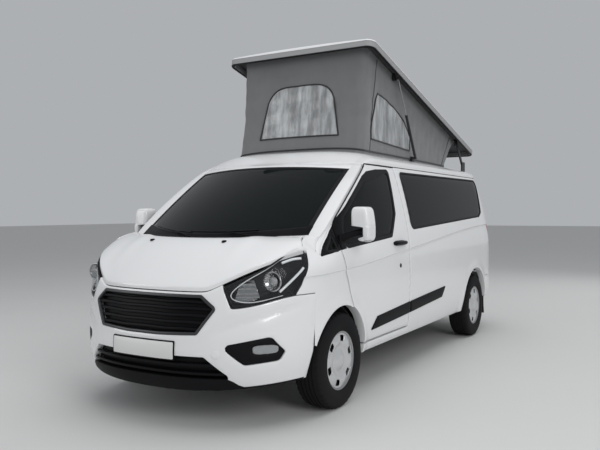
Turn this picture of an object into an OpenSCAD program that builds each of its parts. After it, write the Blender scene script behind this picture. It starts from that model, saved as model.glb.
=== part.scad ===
// Camper van with a raised pop-up roof. Millimetres, X forward, Y left, Z up, ground at Z = 0.

/* [Overall] */
// overall length over the bumpers
body_l = 5340; // [4800:10:5800]
// body width without the mirrors
body_w = 1986; // [1800:2:2100]
// height of the fixed roof
roof_h = 1945; // [1800:5:2100]
// distance between the axles
wheelbase = 3300; // [2900:10:3700]
// front axle to the nose
front_overhang = 1003; // [900:1:1100]
// lower edge of the sills
sill_z = 325; // [250:5:400]
// height of the roof above the side panels
roof_crown = 145; // [100:5:200]

/* [Wheels] */
// tyre outer diameter
tyre_d = 686; // [600:2:760]
// tyre width
tyre_w = 215; // [175:5:255]
// bead seat diameter of the wheel
rim_d = 406; // [355:1:460]
// distance between the wheel centres of an axle
track = 1736; // [1600:2:1800]
// radius of the stub that a wheel turns on
stub_r = 30; // [20:1:40]
// radius of the steering pin
kingpin_r = 14; // [10:1:20]
// steering pin inboard of the wheel centre
kingpin_in = 20; // [0:1:60]
// radius of the front arch opening
front_arch_r = 395; // [370:5:430]
// radius of the rear arch opening
rear_arch_r = 425; // [380:5:460]
// how far an arch lip stands out
flare_h = 13; // [0:1:30]
// width of the flare around an arch
flare_w = 110; // [50:5:200]

/* [Panels] */
// thickness of the side walls
wall_t = 60; // [40:5:90]
// thickness of the front doors
door_t = 70; // [50:5:100]
// thickness of the wings
wing_t = 22; // [15:1:40]
// thickness of the bonnet
bonnet_t = 26; // [15:1:40]
// underside of the floor above the wheel centres
floor_up = 75; // [40:5:120]
// thickness of the roof
roof_t = 36; // [20:1:60]
// thickness of the windscreen surround
frame_t = 28; // [18:1:40]
// thickness of the bumpers
bumper_t = 45; // [25:1:70]
// thickness of the glass
glass_t = 6; // [4:1:10]
// how far glass lies below the panel around it
glass_in = 4; // [1:1:10]
// gap around a door, lid or moving panel
door_gap = 7; // [5:1:12]
// gap between two fixed panels
seam = 4; // [2:1:8]
// clearance of a seated piece
seat_gap = 0.3; // [0.1:0.1:1]
// radial clearance of a turning pin
run_gap = 0.05; // [0.01:0.01:0.1]
// spacing of the points on a curved panel
grid_step = 150; // [90:10:300]

/* [Pop-up roof] */
// length of the roof shell
shell_l = 3060; // [2600:10:3400]
// half width of the roof shell
shell_half = 763; // [650:1:850]
// depth of the shell's rim
shell_rim = 78; // [50:1:120]
// wall of the shell
shell_t = 30; // [15:1:50]
// tilt of the raised shell in degrees
shell_tilt = 14.1; // [10:0.1:18]
// height of the raised shell's front edge above the roof
shell_lift = 960; // [700:5:1150]
// place of the raised shell's front edge
shell_front_x = 652; // [500:1:900]
// half width of the hatch in the roof
hatch_half = 520; // [400:10:600]
// wall of the tent
tent_t = 6; // [3:1:12]
// radius of a strut's cylinder
strut_r = 13; // [8:1:20]
// radius of a strut's rod
rod_r = 6; // [4:1:10]
// thickness of a lift arm
arm_t = 14; // [8:1:25]

/* [Fastening] */
// length of a jacking pad
jack_l = 100; // [60:5:140]
// width of a jacking pad
jack_w = 60; // [40:5:90]
// radius of the towing eye
tow_r = 20; // [12:1:30]
// thickness of the towing lug
tow_t = 22; // [12:1:40]

// radius of the exhaust pipe
pipe_r = 28; // [20:1:40]

/* [Cab] */
// radius of the steering wheel
helm_r = 195; // [170:5:220]
// radius of the steering wheel's rim
helm_rim_r = 15; // [10:1:20]
// width of a front seat
seat_w = 500; // [420:10:600]

/* [Hidden] */
half_w = body_w / 2;
rail_z = roof_h - roof_crown;
front_x = body_l / 2;
rear_x = -front_x;
axle_f = front_x - front_overhang;
axle_r = axle_f - wheelbase;
rear_overhang = axle_r - rear_x;
wheel_r = tyre_d / 2;
wheel_y = track / 2;
kingpin_y = wheel_y - kingpin_in;
frame_n = [0.547, 0.837];
shell_front_z = roof_h + shell_lift;
// overrun of a cut past a face, and the overlap of joined solids
over = 1;
// radius of a door or tailgate striker
striker_r = 7;

// shared maths
function mix(a, b, t) = a + (b - a) * t;
function ease(t) = let (c = max(0, min(1, t))) c * c * (3 - 2 * c);
function bend(u, p) = pow(max(0, 1 - pow(max(0, min(1, u)), p)), 1 / p);
function span(a, b, n) = [for (i = [0:n]) mix(a, b, i / n)];
function steps(a, b) = max(2, ceil(abs(b - a) / grid_step));
function unit(v) = v / norm(v);
// a place along the side: share of the wheelbase ahead of the front axle, share of the roof's height
function at(sx, sz) = [axle_f + sx * wheelbase, sz * roof_h];
// a place behind the rear axle: share of the rear overhang, share of the roof's height
function behind(sx, sz) = [axle_r - sx * rear_overhang, sz * roof_h];

// one corner of an outline turned to an arc of radius r
function corner(a, b, c, r, n) =
  let (u = unit(a - b), w = unit(c - b), s = norm(u + w))
  (r <= 0 || s < 0.03) ? [b] :
  let (half = acos(max(-1, min(1, u * w))) / 2,
       d = min(r / tan(half), 0.45 * norm(a - b), 0.45 * norm(c - b)),
       q = d * tan(half), m = b + unit(u + w) * q / sin(half),
       p0 = b + u * d - m, p1 = b + w * d - m)
  [for (k = [0:n]) m + unit(mix(p0, p1, k / n)) * q];
function rounded(p, r, n = 4) = [for (i = [0:len(p) - 1])
  each corner(p[(i + len(p) - 1) % len(p)], p[i], p[(i + 1) % len(p)], r, n)];

// half width of the body by height, as shares of the roof's height and the half width
section_shares = [[0.11, 0.900], [0.154, 0.930], [0.206, 0.957], [0.257, 0.971], [0.36, 0.981],
  [0.463, 0.986], [0.514, 0.986], [0.566, 0.979], [0.617, 0.966], [0.668, 0.948], [0.771, 0.903],
  [0.874, 0.848], [0.925, 0.812], [0.951, 0.790]];
// how far the nose lies behind its tip by height, shares of the roof's height and the front overhang
nose_shares = [[0.10, 0.110], [0.125, 0.070], [0.16, 0.035], [0.206, 0.010], [0.257, 0.000], [0.319, 0.010],
  [0.386, 0.028], [0.463, 0.062], [0.514, 0.110], [0.591, 0.200], [0.65, 0.290]];
// how far the tail lies ahead of the bumper's end by height, shares of the roof and the rear overhang
tail_shares = [[0.10, 0.085], [0.257, 0.068], [0.386, 0.068], [0.514, 0.073], [0.617, 0.090],
  [0.771, 0.140], [0.925, 0.205], [0.99, 0.245]];
// height of the roof's middle line, shares of the wheelbase ahead of the front axle and of the height
roof_shares = [[-1.24, 0.972], [-1.17, 0.985], [-1.05, 0.994], [-0.7, 1.0], [-0.31, 0.9985],
  [-0.25, 0.993], [-0.19, 0.969], [-0.14, 0.926]];
nose_power = 2.4;
tail_power = 4;
roof_power = 3.0;
nose_start = axle_f + 0.183 * front_overhang;
tail_start = axle_r - 0.26 * rear_overhang;
cab_start = axle_f - 0.29 * wheelbase;
cab_len = 0.27 * wheelbase;
// how much the cab narrows at the pillars
cab_in_share = 0.053;

function section(z) = half_w * lookup(z / roof_h, section_shares);
function nose_tip(z) = front_x - front_overhang * lookup(z / roof_h, nose_shares);
function tail_tip(z) = rear_x + rear_overhang * lookup(z / roof_h, tail_shares);
function roof_mid(x) = roof_h * lookup((x - axle_f) / wheelbase, roof_shares);
function cab_in(x, z) = cab_in_share * half_w * pow(max(0, min(x, nose_start) - cab_start) / cab_len, 2)
  * ease((z / roof_h - 0.555) / 0.11) * (1 - ease((x - nose_start) / (0.23 * front_overhang)));
function flare_at(x, z, ax, r) = flare_h * ease((r + flare_w - norm([x - ax, z - wheel_r])) / flare_w);
function flare(x, z) = flare_at(x, z, axle_f, front_arch_r) + flare_at(x, z, axle_r, rear_arch_r);
function nose_share(x, z) = x <= nose_start ? 1
  : bend((x - nose_start) / (nose_tip(z) - nose_start), nose_power);
function tail_share(x, z) = x >= tail_start ? 1
  : bend((tail_start - x) / (tail_start - tail_tip(z)), tail_power);
// outer half width of the body at a place on its side
function side_y(x, z) = (section(z) - cab_in(x, z)) * nose_share(x, z) * tail_share(x, z) + flare(x, z);
// a point of the nose at plan angle a and height z, d inside the outer skin
function nose_at(a, z, d) = let (c = pow(max(0, cos(a)), 2 / nose_power),
    s = pow(abs(sin(a)), 2 / nose_power))
  [nose_start + (nose_tip(z) - d - nose_start) * c, sign(a) * (section(z) - d) * s, z];
// a point of the tail at plan angle a and height z, d inside the outer skin
function tail_at(a, z, d) = let (c = pow(max(0, cos(a)), 2 / tail_power),
    s = pow(abs(sin(a)), 2 / tail_power))
  [tail_start + (tail_tip(z) + d - tail_start) * c, sign(a) * (section(z) - d) * s, z];

// closed solid between an outer and an inner grid of points
module sheet(outer, inner) {
  n = len(outer);
  m = len(outer[0]);
  points = [for (g = [outer, inner]) for (row = g) for (p = row) p];
  function id(k, i, j) = (k * n + i) * m + j;
  skins = [for (i = [0:n - 2], j = [0:m - 2]) each [
    [id(0, i, j), id(0, i, j + 1), id(0, i + 1, j + 1)], [id(0, i, j), id(0, i + 1, j + 1), id(0, i + 1, j)],
    [id(1, i, j), id(1, i + 1, j + 1), id(1, i, j + 1)], [id(1, i, j), id(1, i + 1, j), id(1, i + 1, j + 1)]]];
  rows = [for (i = [0:n - 2]) each [
    [id(0, i, 0), id(0, i + 1, 0), id(1, i + 1, 0)], [id(0, i, 0), id(1, i + 1, 0), id(1, i, 0)],
    [id(0, i + 1, m - 1), id(0, i, m - 1), id(1, i, m - 1)],
    [id(0, i + 1, m - 1), id(1, i, m - 1), id(1, i + 1, m - 1)]]];
  ends = [for (j = [0:m - 2]) each [
    [id(0, 0, j + 1), id(0, 0, j), id(1, 0, j)], [id(0, 0, j + 1), id(1, 0, j), id(1, 0, j + 1)],
    [id(0, n - 1, j), id(0, n - 1, j + 1), id(1, n - 1, j + 1)],
    [id(0, n - 1, j), id(1, n - 1, j + 1), id(1, n - 1, j)]]];
  polyhedron(points = points, faces = concat(skins, rows, ends));
}

// solids drawn along an axis between two planes
module along_y(a, b) { translate([0, b, 0]) rotate([90, 0, 0]) linear_extrude(b - a) children(); }
module along_x(a, b) { translate([a, 0, 0]) rotate([90, 0, 90]) linear_extrude(b - a) children(); }
module bar_y(x, z, r, a, b) { translate([x, b, z]) rotate([90, 0, 0]) cylinder(r = r, h = b - a); }
module bar_x(y, z, r, a, b) { translate([a, y, z]) rotate([0, 90, 0]) cylinder(r = r, h = b - a); }
module bar_z(x, y, r, a, b) { translate([x, y, a]) cylinder(r = r, h = b - a); }
module box(a, b) { translate(a) cube(b - a); }
module rod_between(a, b, r) {
  d = b - a;
  translate(a) rotate([0, acos(d[2] / norm(d)), atan2(d[1], d[0])]) cylinder(r = r, h = norm(d));
}
module both_sides() { children(); mirror([0, 1, 0]) children(); }
module left_or_right(left) { if (left) children(); else mirror([0, 1, 0]) children(); }
// an outline grown by a gap, or shrunk by a negative one
module grown(p, d) { if (d == 0) polygon(p); else offset(delta = d) polygon(p); }

// left skin between two stations and heights, lying d inside the outer face and t thick
module side_skin(xa, xb, za, zb, t, d = 0) {
  xs = span(xb, xa, steps(xa, xb));
  zs = span(za, zb, steps(za, zb) + 2);
  sheet([for (x = xs) [for (z = zs) [x, side_y(x, z) - d, z]]],
    [for (x = xs) [for (z = zs) [x, side_y(x, z) - d - t, z]]]);
}
// the same with the rear corner as far as the tailgate
corner_angles = [12, 22, 31, 40, 50];
module rear_skin(xb, za, zb, t, d = 0) {
  xs = span(xb, tail_start, steps(xb, tail_start));
  zs = span(za, zb, steps(za, zb) + 2);
  function row(x, e) = [for (z = zs) [x, side_y(x, z) - e, z]];
  function turn(a, e) = [for (z = zs) tail_at(90 - a, z, e)];
  sheet(concat([for (x = xs) row(x, d)], [for (a = corner_angles) turn(a, d)]),
    concat([for (x = xs) row(x, d + t)], [for (a = corner_angles) turn(a, d + t)]));
}

// windscreen surface: u across with 1 at the glass edge, v up the slope
ws_base = [axle_f + 0.412 * front_overhang, 0.630 * roof_h];
ws_top = [axle_f - 0.142 * wheelbase, 0.925 * roof_h];
ws_half_low = 0.784 * half_w;
ws_half_top = 0.740 * half_w;
ws_bow_low = 0.2495 * front_overhang;
ws_bow_top = 0.204 * front_overhang;
ws_crown = 0.010 * roof_h;
function ws_mid(v) = mix(ws_base, ws_top, v) + [0, 4 * ws_crown * v * (1 - v)];
function ws_half(v) = mix(ws_half_low, ws_half_top, v);
function ws_at(u, v) = let (m = ws_mid(v))
  [m[0] - mix(ws_bow_low, ws_bow_top, v) * u * u, u * ws_half(v), m[1]];
// outer edge of the pillar beside the glass, in the side view
pillar_drop_share = 0.006;
function pillar_line(v, d) = let (g = ws_at(1, v)) [g[0], g[2] - pillar_drop_share * roof_h] - d * frame_n;
function pillar_at(v) = let (p = pillar_line(v, 0)) [p[0], side_y(p[0], p[1]), p[1]];
function frame_at(u, v) = abs(u) <= 1 ? ws_at(u, v)
  : let (g = ws_at(1, v), e = pillar_at(v), q = mix(g, e, abs(u) - 1)) [q[0], sign(u) * q[1], q[2]];
function glass_low(u) = 0.02 + 0.085 * u * u;
function glass_high(u) = 0.965 - 0.055 * u * u;
glass_us = span(-1, 1, 12);
glass_outline = concat([for (u = glass_us) let (p = ws_at(u, glass_low(u))) [p[1], p[2]]],
  [for (i = [0:12]) let (u = glass_us[12 - i], p = ws_at(u, glass_high(u))) [p[1], p[2]]]);
function into_frame(p, d) = p - d * [frame_n[0], 0, frame_n[1]];

// driving lines of the side view
belt_share = 0.567;
door_rear = axle_f - 0.4005 * wheelbase;
door_low = sill_z + 0.037 * roof_h;
door_edge = [at(-0.0075, belt_share), at(-0.033, 0.46), at(-0.051, 0.367)];
door_top_v = 0.205;
door_vs = [0.22, 0.34, 0.5, 0.65, 0.8, 0.9, 1.0, 1.03];
// opening that the left front door fills, before its gap is taken off
door_hole = concat(
  [for (v = door_vs) pillar_line(v, frame_t)],
  [[pillar_line(1.05, frame_t)[0], rail_z], [door_rear, rail_z], [door_rear, door_low],
   [axle_f - 0.9 * front_arch_r, door_low], at(-0.058, 0.24)], [door_edge[2], door_edge[1], door_edge[0]],
  [[door_edge[0][0], pillar_line(door_top_v, frame_t)[1]]]);
door_window = rounded(concat([for (v = [0.36, 0.5, 0.65, 0.8, 0.86]) pillar_line(v, frame_t + 0.055 * half_w)],
  [at(-0.352, 0.905), at(-0.331, 0.715), at(-0.285, 0.622), at(-0.03, 0.590)]), 0.02 * roof_h);
quarter_hole = rounded([at(0.006, 0.580), at(0.056, 0.578), pillar_line(0.05, frame_t + 0.03 * half_w),
  pillar_line(0.13, frame_t + 0.03 * half_w), [at(0.006, 0)[0], pillar_line(0.14, frame_t + 0.03 * half_w)[1]]],
  0.008 * roof_h);
rear_window = rounded([at(-0.428, 0.641), at(-0.428, 0.905), behind(0.525, 0.912), behind(0.398, 0.715),
  behind(0.286, 0.690)], 0.032 * roof_h, 6);
slide_hole = [[door_rear - 0.02 * wheelbase, rail_z], [axle_r + 0.20 * wheelbase, rail_z],
  [axle_r + 0.20 * wheelbase, 0.42 * roof_h], [axle_r + 0.155 * wheelbase, 0.30 * roof_h],
  [axle_r + 0.155 * wheelbase, door_low], [door_rear - 0.02 * wheelbase, door_low]];
slide_window = rounded([at(-0.440, 0.641), at(-0.440, 0.905), at(-0.765, 0.905), at(-0.765, 0.641)],
  0.032 * roof_h, 6);
rear_window_right = rounded([at(-0.835, 0.650), at(-0.835, 0.905), behind(0.525, 0.912), behind(0.398, 0.715),
  behind(0.286, 0.690)], 0.032 * roof_h, 6);
gate_half = 0.80 * half_w;
gate_low = 0.335 * roof_h;
gate_high = 0.930 * roof_h;

module rear_arch(d) { bar_y(axle_r, wheel_r, rear_arch_r + d, -body_w, body_w); }
module front_arch(d) { bar_y(axle_f, wheel_r, front_arch_r + d, -body_w, body_w); }

// side of the body behind the front door, with the sill below it
striker_z = 0.48 * roof_h;
striker_y = side_y(door_rear, striker_z) - wall_t / 2;
gate_striker_x = tail_tip(gate_low) + wall_t / 2;
module body_side(right) {
  bar_x(striker_y, striker_z, striker_r, door_rear - striker_r, door_rear + door_gap + 2.8 * striker_r);
  difference() {
    union() {
      rear_skin(door_rear, sill_z, rail_z - seat_gap, wall_t);
      intersection() {
        side_skin(door_rear, axle_f - 0.9 * front_arch_r, sill_z, door_low - door_gap, wall_t);
        front_arch_clear();
      }
    }
    rear_arch(0);
    along_y(0, body_w) polygon(right ? rear_window_right : rear_window);
    if (right) along_y(0, body_w) polygon(slide_hole);
    box([rear_x, 0, 0], [tail_start, gate_half + door_gap, roof_h]);
    lamp_space(seat_gap);
    box([rear_x, 0, 0], [axle_r - rear_arch_r + seam, body_w, gate_low]);
  }
}
module front_arch_clear() {
  difference() {
    box([axle_r, 0, 0], [axle_f, body_w, roof_h]);
    front_arch(seam);
  }
}
// space that a tail lamp fills in the rear corner
module lamp_space(d) {
  box([rear_x, gate_half + door_gap, 0.44 * roof_h - d],
    [tail_start - 0.42 * rear_overhang + d, body_w, 0.70 * roof_h + d]);
}
module side_left() { color("white") body_side(false); }
module side_right() { color("white") mirror([0, 1, 0]) body_side(true); }
module sliding_door() {
  color("white") mirror([0, 1, 0]) intersection() {
    side_skin(axle_r + 0.15 * wheelbase, door_rear, door_low, rail_z, wall_t);
    along_y(0, body_w) difference() {
      grown(slide_hole, -seam);
      polygon(slide_window);
    }
    difference() {
      box([axle_r, 0, 0], [axle_f, body_w, rail_z - seat_gap]);
      rear_arch(seam);
    }
  }
}

// roof between the side rails with the hatch below the tent
roof_angles = [for (k = [0:8]) 90 - 180 * k / 8];
function roof_front(u) = frame_at(u, 1)[0] - seam;
function roof_rear(y) = axle_r - 0.755 * rear_overhang + 0.14 * rear_overhang * pow(abs(y) / half_w, 4);
function roof_pt(a, x, d) = let (h = side_y(x, rail_z) - d, s = pow(abs(sin(a)), 2 / roof_power),
    c = pow(max(0, cos(a)), 2 / roof_power))
  [x, sign(a) * h * s, rail_z + (max(roof_mid(x), rail_z + roof_t) - d - rail_z) * c];
function roof_row(a, d, n) = let (s = sign(a) * pow(abs(sin(a)), 2 / roof_power), y = s * 0.80 * half_w)
  [for (x = span(roof_rear(y), roof_front(min(1.6, 1.09 * abs(s))), n)) roof_pt(a, x, d)];
hatch_front = shell_front_x - 0.02 * wheelbase;
hatch_rear = axle_r + 0.06 * wheelbase;
module roof_panel() {
  color("white") difference() {
    sheet([for (a = roof_angles) [for (p = roof_row(a, 0, 22)) p]],
      [for (a = roof_angles) [for (p = roof_row(a, roof_t, 22)) p]]);
    box([hatch_rear, -hatch_half, 0], [hatch_front, hatch_half, 2 * roof_h]);
  }
  color("white") along_x(roof_rear(0) + over, roof_rear(0) + roof_t) difference() {
    polygon([for (a = roof_angles) let (p = roof_pt(a, roof_rear(0) + roof_t, 0.5 * roof_t)) [p[1], p[2]]]);
    grown(gate_hole, door_gap);
  }
}

// pillars, header and scuttle in one piece around the windscreen
frame_us = [-2, -1.7, -1.4, -1.15, -1, -0.75, -0.5, -0.25, 0, 0.25, 0.5, 0.75, 1, 1.15, 1.4, 1.7, 2];
frame_vs = [-0.11, 0, 0.12, 0.25, 0.4, 0.55, 0.7, 0.85, 1];
module frame_sheet(outer_d, inner_d) {
  sheet([for (u = frame_us) [for (v = frame_vs) into_frame(frame_at(u, v), outer_d)]],
    [for (u = frame_us) [for (v = frame_vs) into_frame(frame_at(u, v), inner_d)]]);
}
module windscreen_frame() {
  color("white") difference() {
    frame_sheet(0, frame_t);
    along_x(0, front_x) polygon(glass_outline);
    both_sides() box([hood_x - 4 * hood_pin_r, hood_y - door_gap, 0],
      [front_x, hood_y + 2 * hood_arm_t + 2 * door_gap, ws_base[1] + 2 * hood_pin_r]);
  }
}
module windscreen() {
  us = span(-1.04, 1.04, 12);
  vs = span(-0.02, 1.0, 8);
  color("grey") intersection() {
    sheet([for (u = us) [for (v = vs) into_frame(ws_at(u, v), glass_in)]],
      [for (u = us) [for (v = vs) into_frame(ws_at(u, v), glass_in + glass_t)]]);
    along_x(0, front_x) grown(glass_outline, -seat_gap);
  }
}

// bonnet from the nose to the scuttle
bonnet_half_front = 0.900 * half_w;
bonnet_half_rear = 0.870 * half_w;
bonnet_rear = ws_base[0] + 0.052 * front_overhang;
bonnet_bow = 0.1535 * front_overhang;
bonnet_lip_share = 0.474;
function bonnet_front_z(y) = roof_h * (bonnet_lip_share + 0.113 * ease((abs(y) / half_w - 0.46) / 0.46));
function bonnet_front(y) = let (z = bonnet_front_z(y), n = nose_tip(z))
  nose_start + (n - nose_start) * bend(abs(y) / section(z), nose_power) - seam;
function bonnet_at(u, s, d) = let (y = u * mix(bonnet_half_front, bonnet_half_rear, s),
    xf = bonnet_front(y), xr = bonnet_rear - bonnet_bow * pow(abs(y) / bonnet_half_rear, 2),
    zf = bonnet_front_z(y), zr = ws_base[1] + 0.0035 * roof_h * pow(abs(u), 2))
  [mix(xf, xr, s), y, mix(zf, zr, 1 - pow(1 - s, 1.55)) - d];
hood_x = axle_f + 0.225 * front_overhang;
hood_z = 0.588 * roof_h;
hood_y = 0.70 * half_w;
hood_pin_r = 10;
hood_arm_t = 16;
module bonnet() {
  ss = [0, 0.06, 0.15, 0.3, 0.45, 0.6, 0.8, 1];
  color("white") union() {
    sheet([for (u = span(-1, 1, 16)) [for (s = ss) bonnet_at(u, s, 0)]],
      [for (u = span(-1, 1, 16)) [for (s = ss) bonnet_at(u, s, bonnet_t)]]);
    both_sides() difference() {
      along_y(hood_y, hood_y + hood_arm_t) polygon([[hood_x - 2 * hood_pin_r, hood_z - 2 * hood_pin_r],
        [hood_x + 3 * hood_pin_r, hood_z - 2 * hood_pin_r],
        [bonnet_at(0.7, 0.8, 0)[0], bonnet_at(0.8, 0.8, 1.4 * bonnet_t)[2]],
        [bonnet_at(0.7, 0.8, 0)[0], bonnet_at(0.8, 0.8, 0.5 * bonnet_t)[2]],
        [bonnet_at(0.8, 1, 0)[0] + bonnet_t, bonnet_at(0.8, 1, 0.6 * bonnet_t)[2]],
        [hood_x - 2 * hood_pin_r, hood_z + 2 * hood_pin_r]]);
      bar_y(hood_x, hood_z, hood_pin_r + run_gap, 0, body_w);
    }
  }
}

// front bumper: plan angle and height limits of each patch of the nose
function lamp_low(a) = roof_h * mix(0.408, 0.445, ease((abs(a) - 34) / 36));
function lamp_high(a) = bonnet_front_z(nose_at(abs(a), 0.5 * roof_h, 0)[1]) - bonnet_t - 3 * door_gap;
lamp_set = 3;
lamp_in = 31;
lamp_out = 73;
module nose_patch(as, low, high, n, d, t) {
  sheet([for (a = as) [for (k = [0:n]) nose_at(a, mix(low(a), high(a), k / n), d)]],
    [for (a = as) [for (k = [0:n]) nose_at(a, mix(low(a), high(a), k / n), d + t)]]);
}
bumper_low_share = 0.125;
function bumper_low(a) = roof_h * mix(bumper_low_share + 0.004, bumper_low_share + 0.028, ease(abs(a) / 80));
function bumper_high(a) = abs(a) >= lamp_in - 0.4 ? lamp_low(a) - seam
  : bonnet_front_z(nose_at(abs(a), 0.46 * roof_h, 0)[1]) - bonnet_t - door_gap;
grille_hole = [for (s = [[0.535, 0.408], [0.43, 0.450], [-0.43, 0.450], [-0.535, 0.408], [-0.42, 0.322],
  [-0.14, 0.316], [0.14, 0.316], [0.42, 0.322]]) [s[0] * half_w, s[1] * roof_h]];
intake_hole = [for (s = [[0.63, 0.175], [0.47, 0.250], [-0.47, 0.250], [-0.63, 0.175], [-0.5, 0.162],
  [0.5, 0.162]]) [s[0] * half_w, s[1] * roof_h]];
fog_hole = [for (s = [[0.57, 0.286], [0.83, 0.314], [0.885, 0.262], [0.86, 0.232], [0.70, 0.222]])
  [s[0] * half_w, s[1] * roof_h]];
bumper_end = 80;
bumper_side = [bumper_end, 71, 62, 53, 45, 38, lamp_in - 0.3, lamp_in - 0.9, 24, 16, 8];
bumper_angles = concat([for (a = bumper_side) -a], [0],
  [for (i = [1:len(bumper_side)]) bumper_side[len(bumper_side) - i]]);
module bumper_front() {
  low = function(a) bumper_low(a);
  high = function(a) bumper_high(a);
  color("white") difference() {
    nose_patch(bumper_angles, low, high, 9, 0, bumper_t);
    along_x(nose_start, 2 * front_x) {
      polygon(rounded(grille_hole, 0.012 * roof_h));
      polygon(rounded(intake_hole, 0.012 * roof_h));
    }
    both_sides() along_x(nose_start, 2 * front_x) polygon(rounded(fog_hole, 0.012 * roof_h));
    front_arch(0);
  }
}
module nose_panel(p, d, t) {
  low = function(a) bumper_low(a);
  high = function(a) bonnet_front_z(0) - bonnet_t - door_gap;
  intersection() {
    nose_patch([for (k = [-6:6]) 7 * k], low, high, 8, d, t);
    along_x(nose_start, 2 * front_x) grown(rounded(p, 0.012 * roof_h), -seat_gap);
  }
}
grille_in = 12;
grille_t = 26;
slat_n = 5;
slat_gap = 14;
slat_wave = 5;
module grille() {
  color("black") difference() {
    union() { nose_panel(grille_hole, grille_in, grille_t); nose_panel(intake_hole, grille_in, grille_t); }
    for (k = [0:slat_n - 1]) along_x(nose_start, 2 * front_x) slat_slot(k);
    for (k = [0:2]) along_x(nose_start, 2 * front_x) intake_slot(k);
  }
}
// one wavy gap between two slats of the upper grille, wider towards the middle of the nose
module slat_slot(k) {
  z = roof_h * mix(0.343, 0.438, k / (slat_n - 1));
  h = half_w * mix(0.405, 0.425, k / (slat_n - 1));
  function wave(y) = z + slat_wave * cos(360 * y / h);
  ys = span(-h, h, 32);
  polygon(concat([for (y = ys) [y, wave(y) - slat_gap / 2]],
    [for (i = [0:32]) [ys[32 - i], wave(ys[32 - i]) + slat_gap / 2]]));
}
module intake_slot(k) {
  z = roof_h * mix(0.184, 0.232, k / 2);
  h = half_w * mix(0.54, 0.44, k / 2);
  polygon(rounded([[-h, z - slat_gap], [h, z - slat_gap], [h, z + slat_gap], [-h, z + slat_gap]], slat_gap));
}
module headlamps() {
  low = function(a) lamp_low(a) - 0.5 * seam;
  high = function(a) lamp_high(a);
  color("silver") both_sides() difference() {
    nose_patch(span(lamp_in, lamp_out, 8), low, high, 5, lamp_set, 0.05 * half_w);
    along_y(0, body_w) polygon(wing_hole);
  }
}
fog_in = 8;
fog_t = 30;
module fog_lamps() {
  low = function(a) 0.2 * roof_h;
  high = function(a) 0.33 * roof_h;
  color("black") both_sides() intersection() {
    nose_patch(span(25, 70, 8), low, high, 3, fog_in, fog_t);
    along_x(nose_start, 2 * front_x) grown(rounded(fog_hole, 0.012 * roof_h), -seat_gap);
  }
}

// wings beside the bonnet
function bonnet_edge(s) = let (p = bonnet_at(1, s, 0)) [p[0], p[2]];
function nose_end(a, sz) = [nose_at(a, sz * roof_h, 0)[0] - seam, sz * roof_h];
wing_hole = concat([for (v = [door_top_v, 0.12, 0, -0.11]) pillar_line(v, frame_t + seam)],
  [pillar_line(-0.13, frame_t), pillar_line(-0.13, -seam), pillar_line(0, -seam), pillar_line(0.03, -seam)],
  [for (s = [1, 0.9, 0.8, 0.7, 0.6, 0.5]) bonnet_edge(s)],
  [for (sz = [0.58, 0.53, 0.48, 0.449]) nose_end(lamp_out, sz)],
  [for (sz = [0.445, 0.41, 0.38]) nose_end(bumper_end, sz)],
  [at(0.06, 0.2), at(-0.058, 0.24)], [door_edge[2], door_edge[1], door_edge[0],
   [door_edge[0][0], pillar_line(door_top_v, frame_t + seam)[1]]]);
module wing_skin(t) {
  side_skin(axle_f - 0.06 * wheelbase, axle_f + 0.165 * wheelbase, 0.2 * roof_h, 0.70 * roof_h, t);
}
module wing(left) {
  color("white") left_or_right(left) intersection() {
    wing_skin(wing_t);
    along_y(0, body_w) difference() { grown(wing_hole, -0.5 * door_gap); polygon(quarter_hole); }
    difference() {
      box([axle_r, 0, wheel_r], [front_x, body_w, roof_h]);
      front_arch(0);
    }
  }
}
module wing_left() wing(true);
module wing_right() wing(false);

// fixed glass of both sides
module pane(p) {
  xs = [for (q = p) q[0]];
  zs = [for (q = p) q[1]];
  intersection() {
    side_skin(min(xs) - seam, max(xs) + seam, min(zs) - seam, max(zs) + seam, glass_t, glass_in);
    along_y(0, body_w) grown(p, -seat_gap);
  }
}
module side_glass() {
  color("grey") {
    for (p = [rear_window, quarter_hole]) pane(p);
    mirror([0, 1, 0]) for (p = [rear_window_right, quarter_hole, slide_window]) pane(p);
  }
}

// front doors with glass and mirror
module door(left) {
  color("white") left_or_right(left) intersection() {
    side_skin(door_rear, axle_f, door_low, rail_z, door_t);
    along_y(0, body_w) difference() { grown(door_hole, -door_gap); polygon(door_window); }
    difference() {
      box([axle_r, 0, 0], [front_x, body_w, roof_h]);
      front_arch(2 * door_gap);
      box([door_rear, 0, striker_z - striker_r - seat_gap],
        [door_rear + door_gap + 3.5 * striker_r, striker_y + 1.4 * striker_r, striker_z + striker_r + seat_gap]);
    }
  }
}
module door_glass(left) {
  color("grey") left_or_right(left) intersection() {
    side_skin(door_rear, axle_f, 0.55 * roof_h, rail_z, glass_t, glass_in);
    along_y(0, body_w) grown(door_window, -seat_gap);
  }
}
mirror_x = axle_f - 0.035 * wheelbase;
mirror_z = 0.675 * roof_h;
mirror_h = 0.128 * roof_h;
mirror_w = 0.145 * half_w;
mirror_d = 105;
mirror_arm = 40;
mirror_out = 1.144 * half_w;
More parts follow.
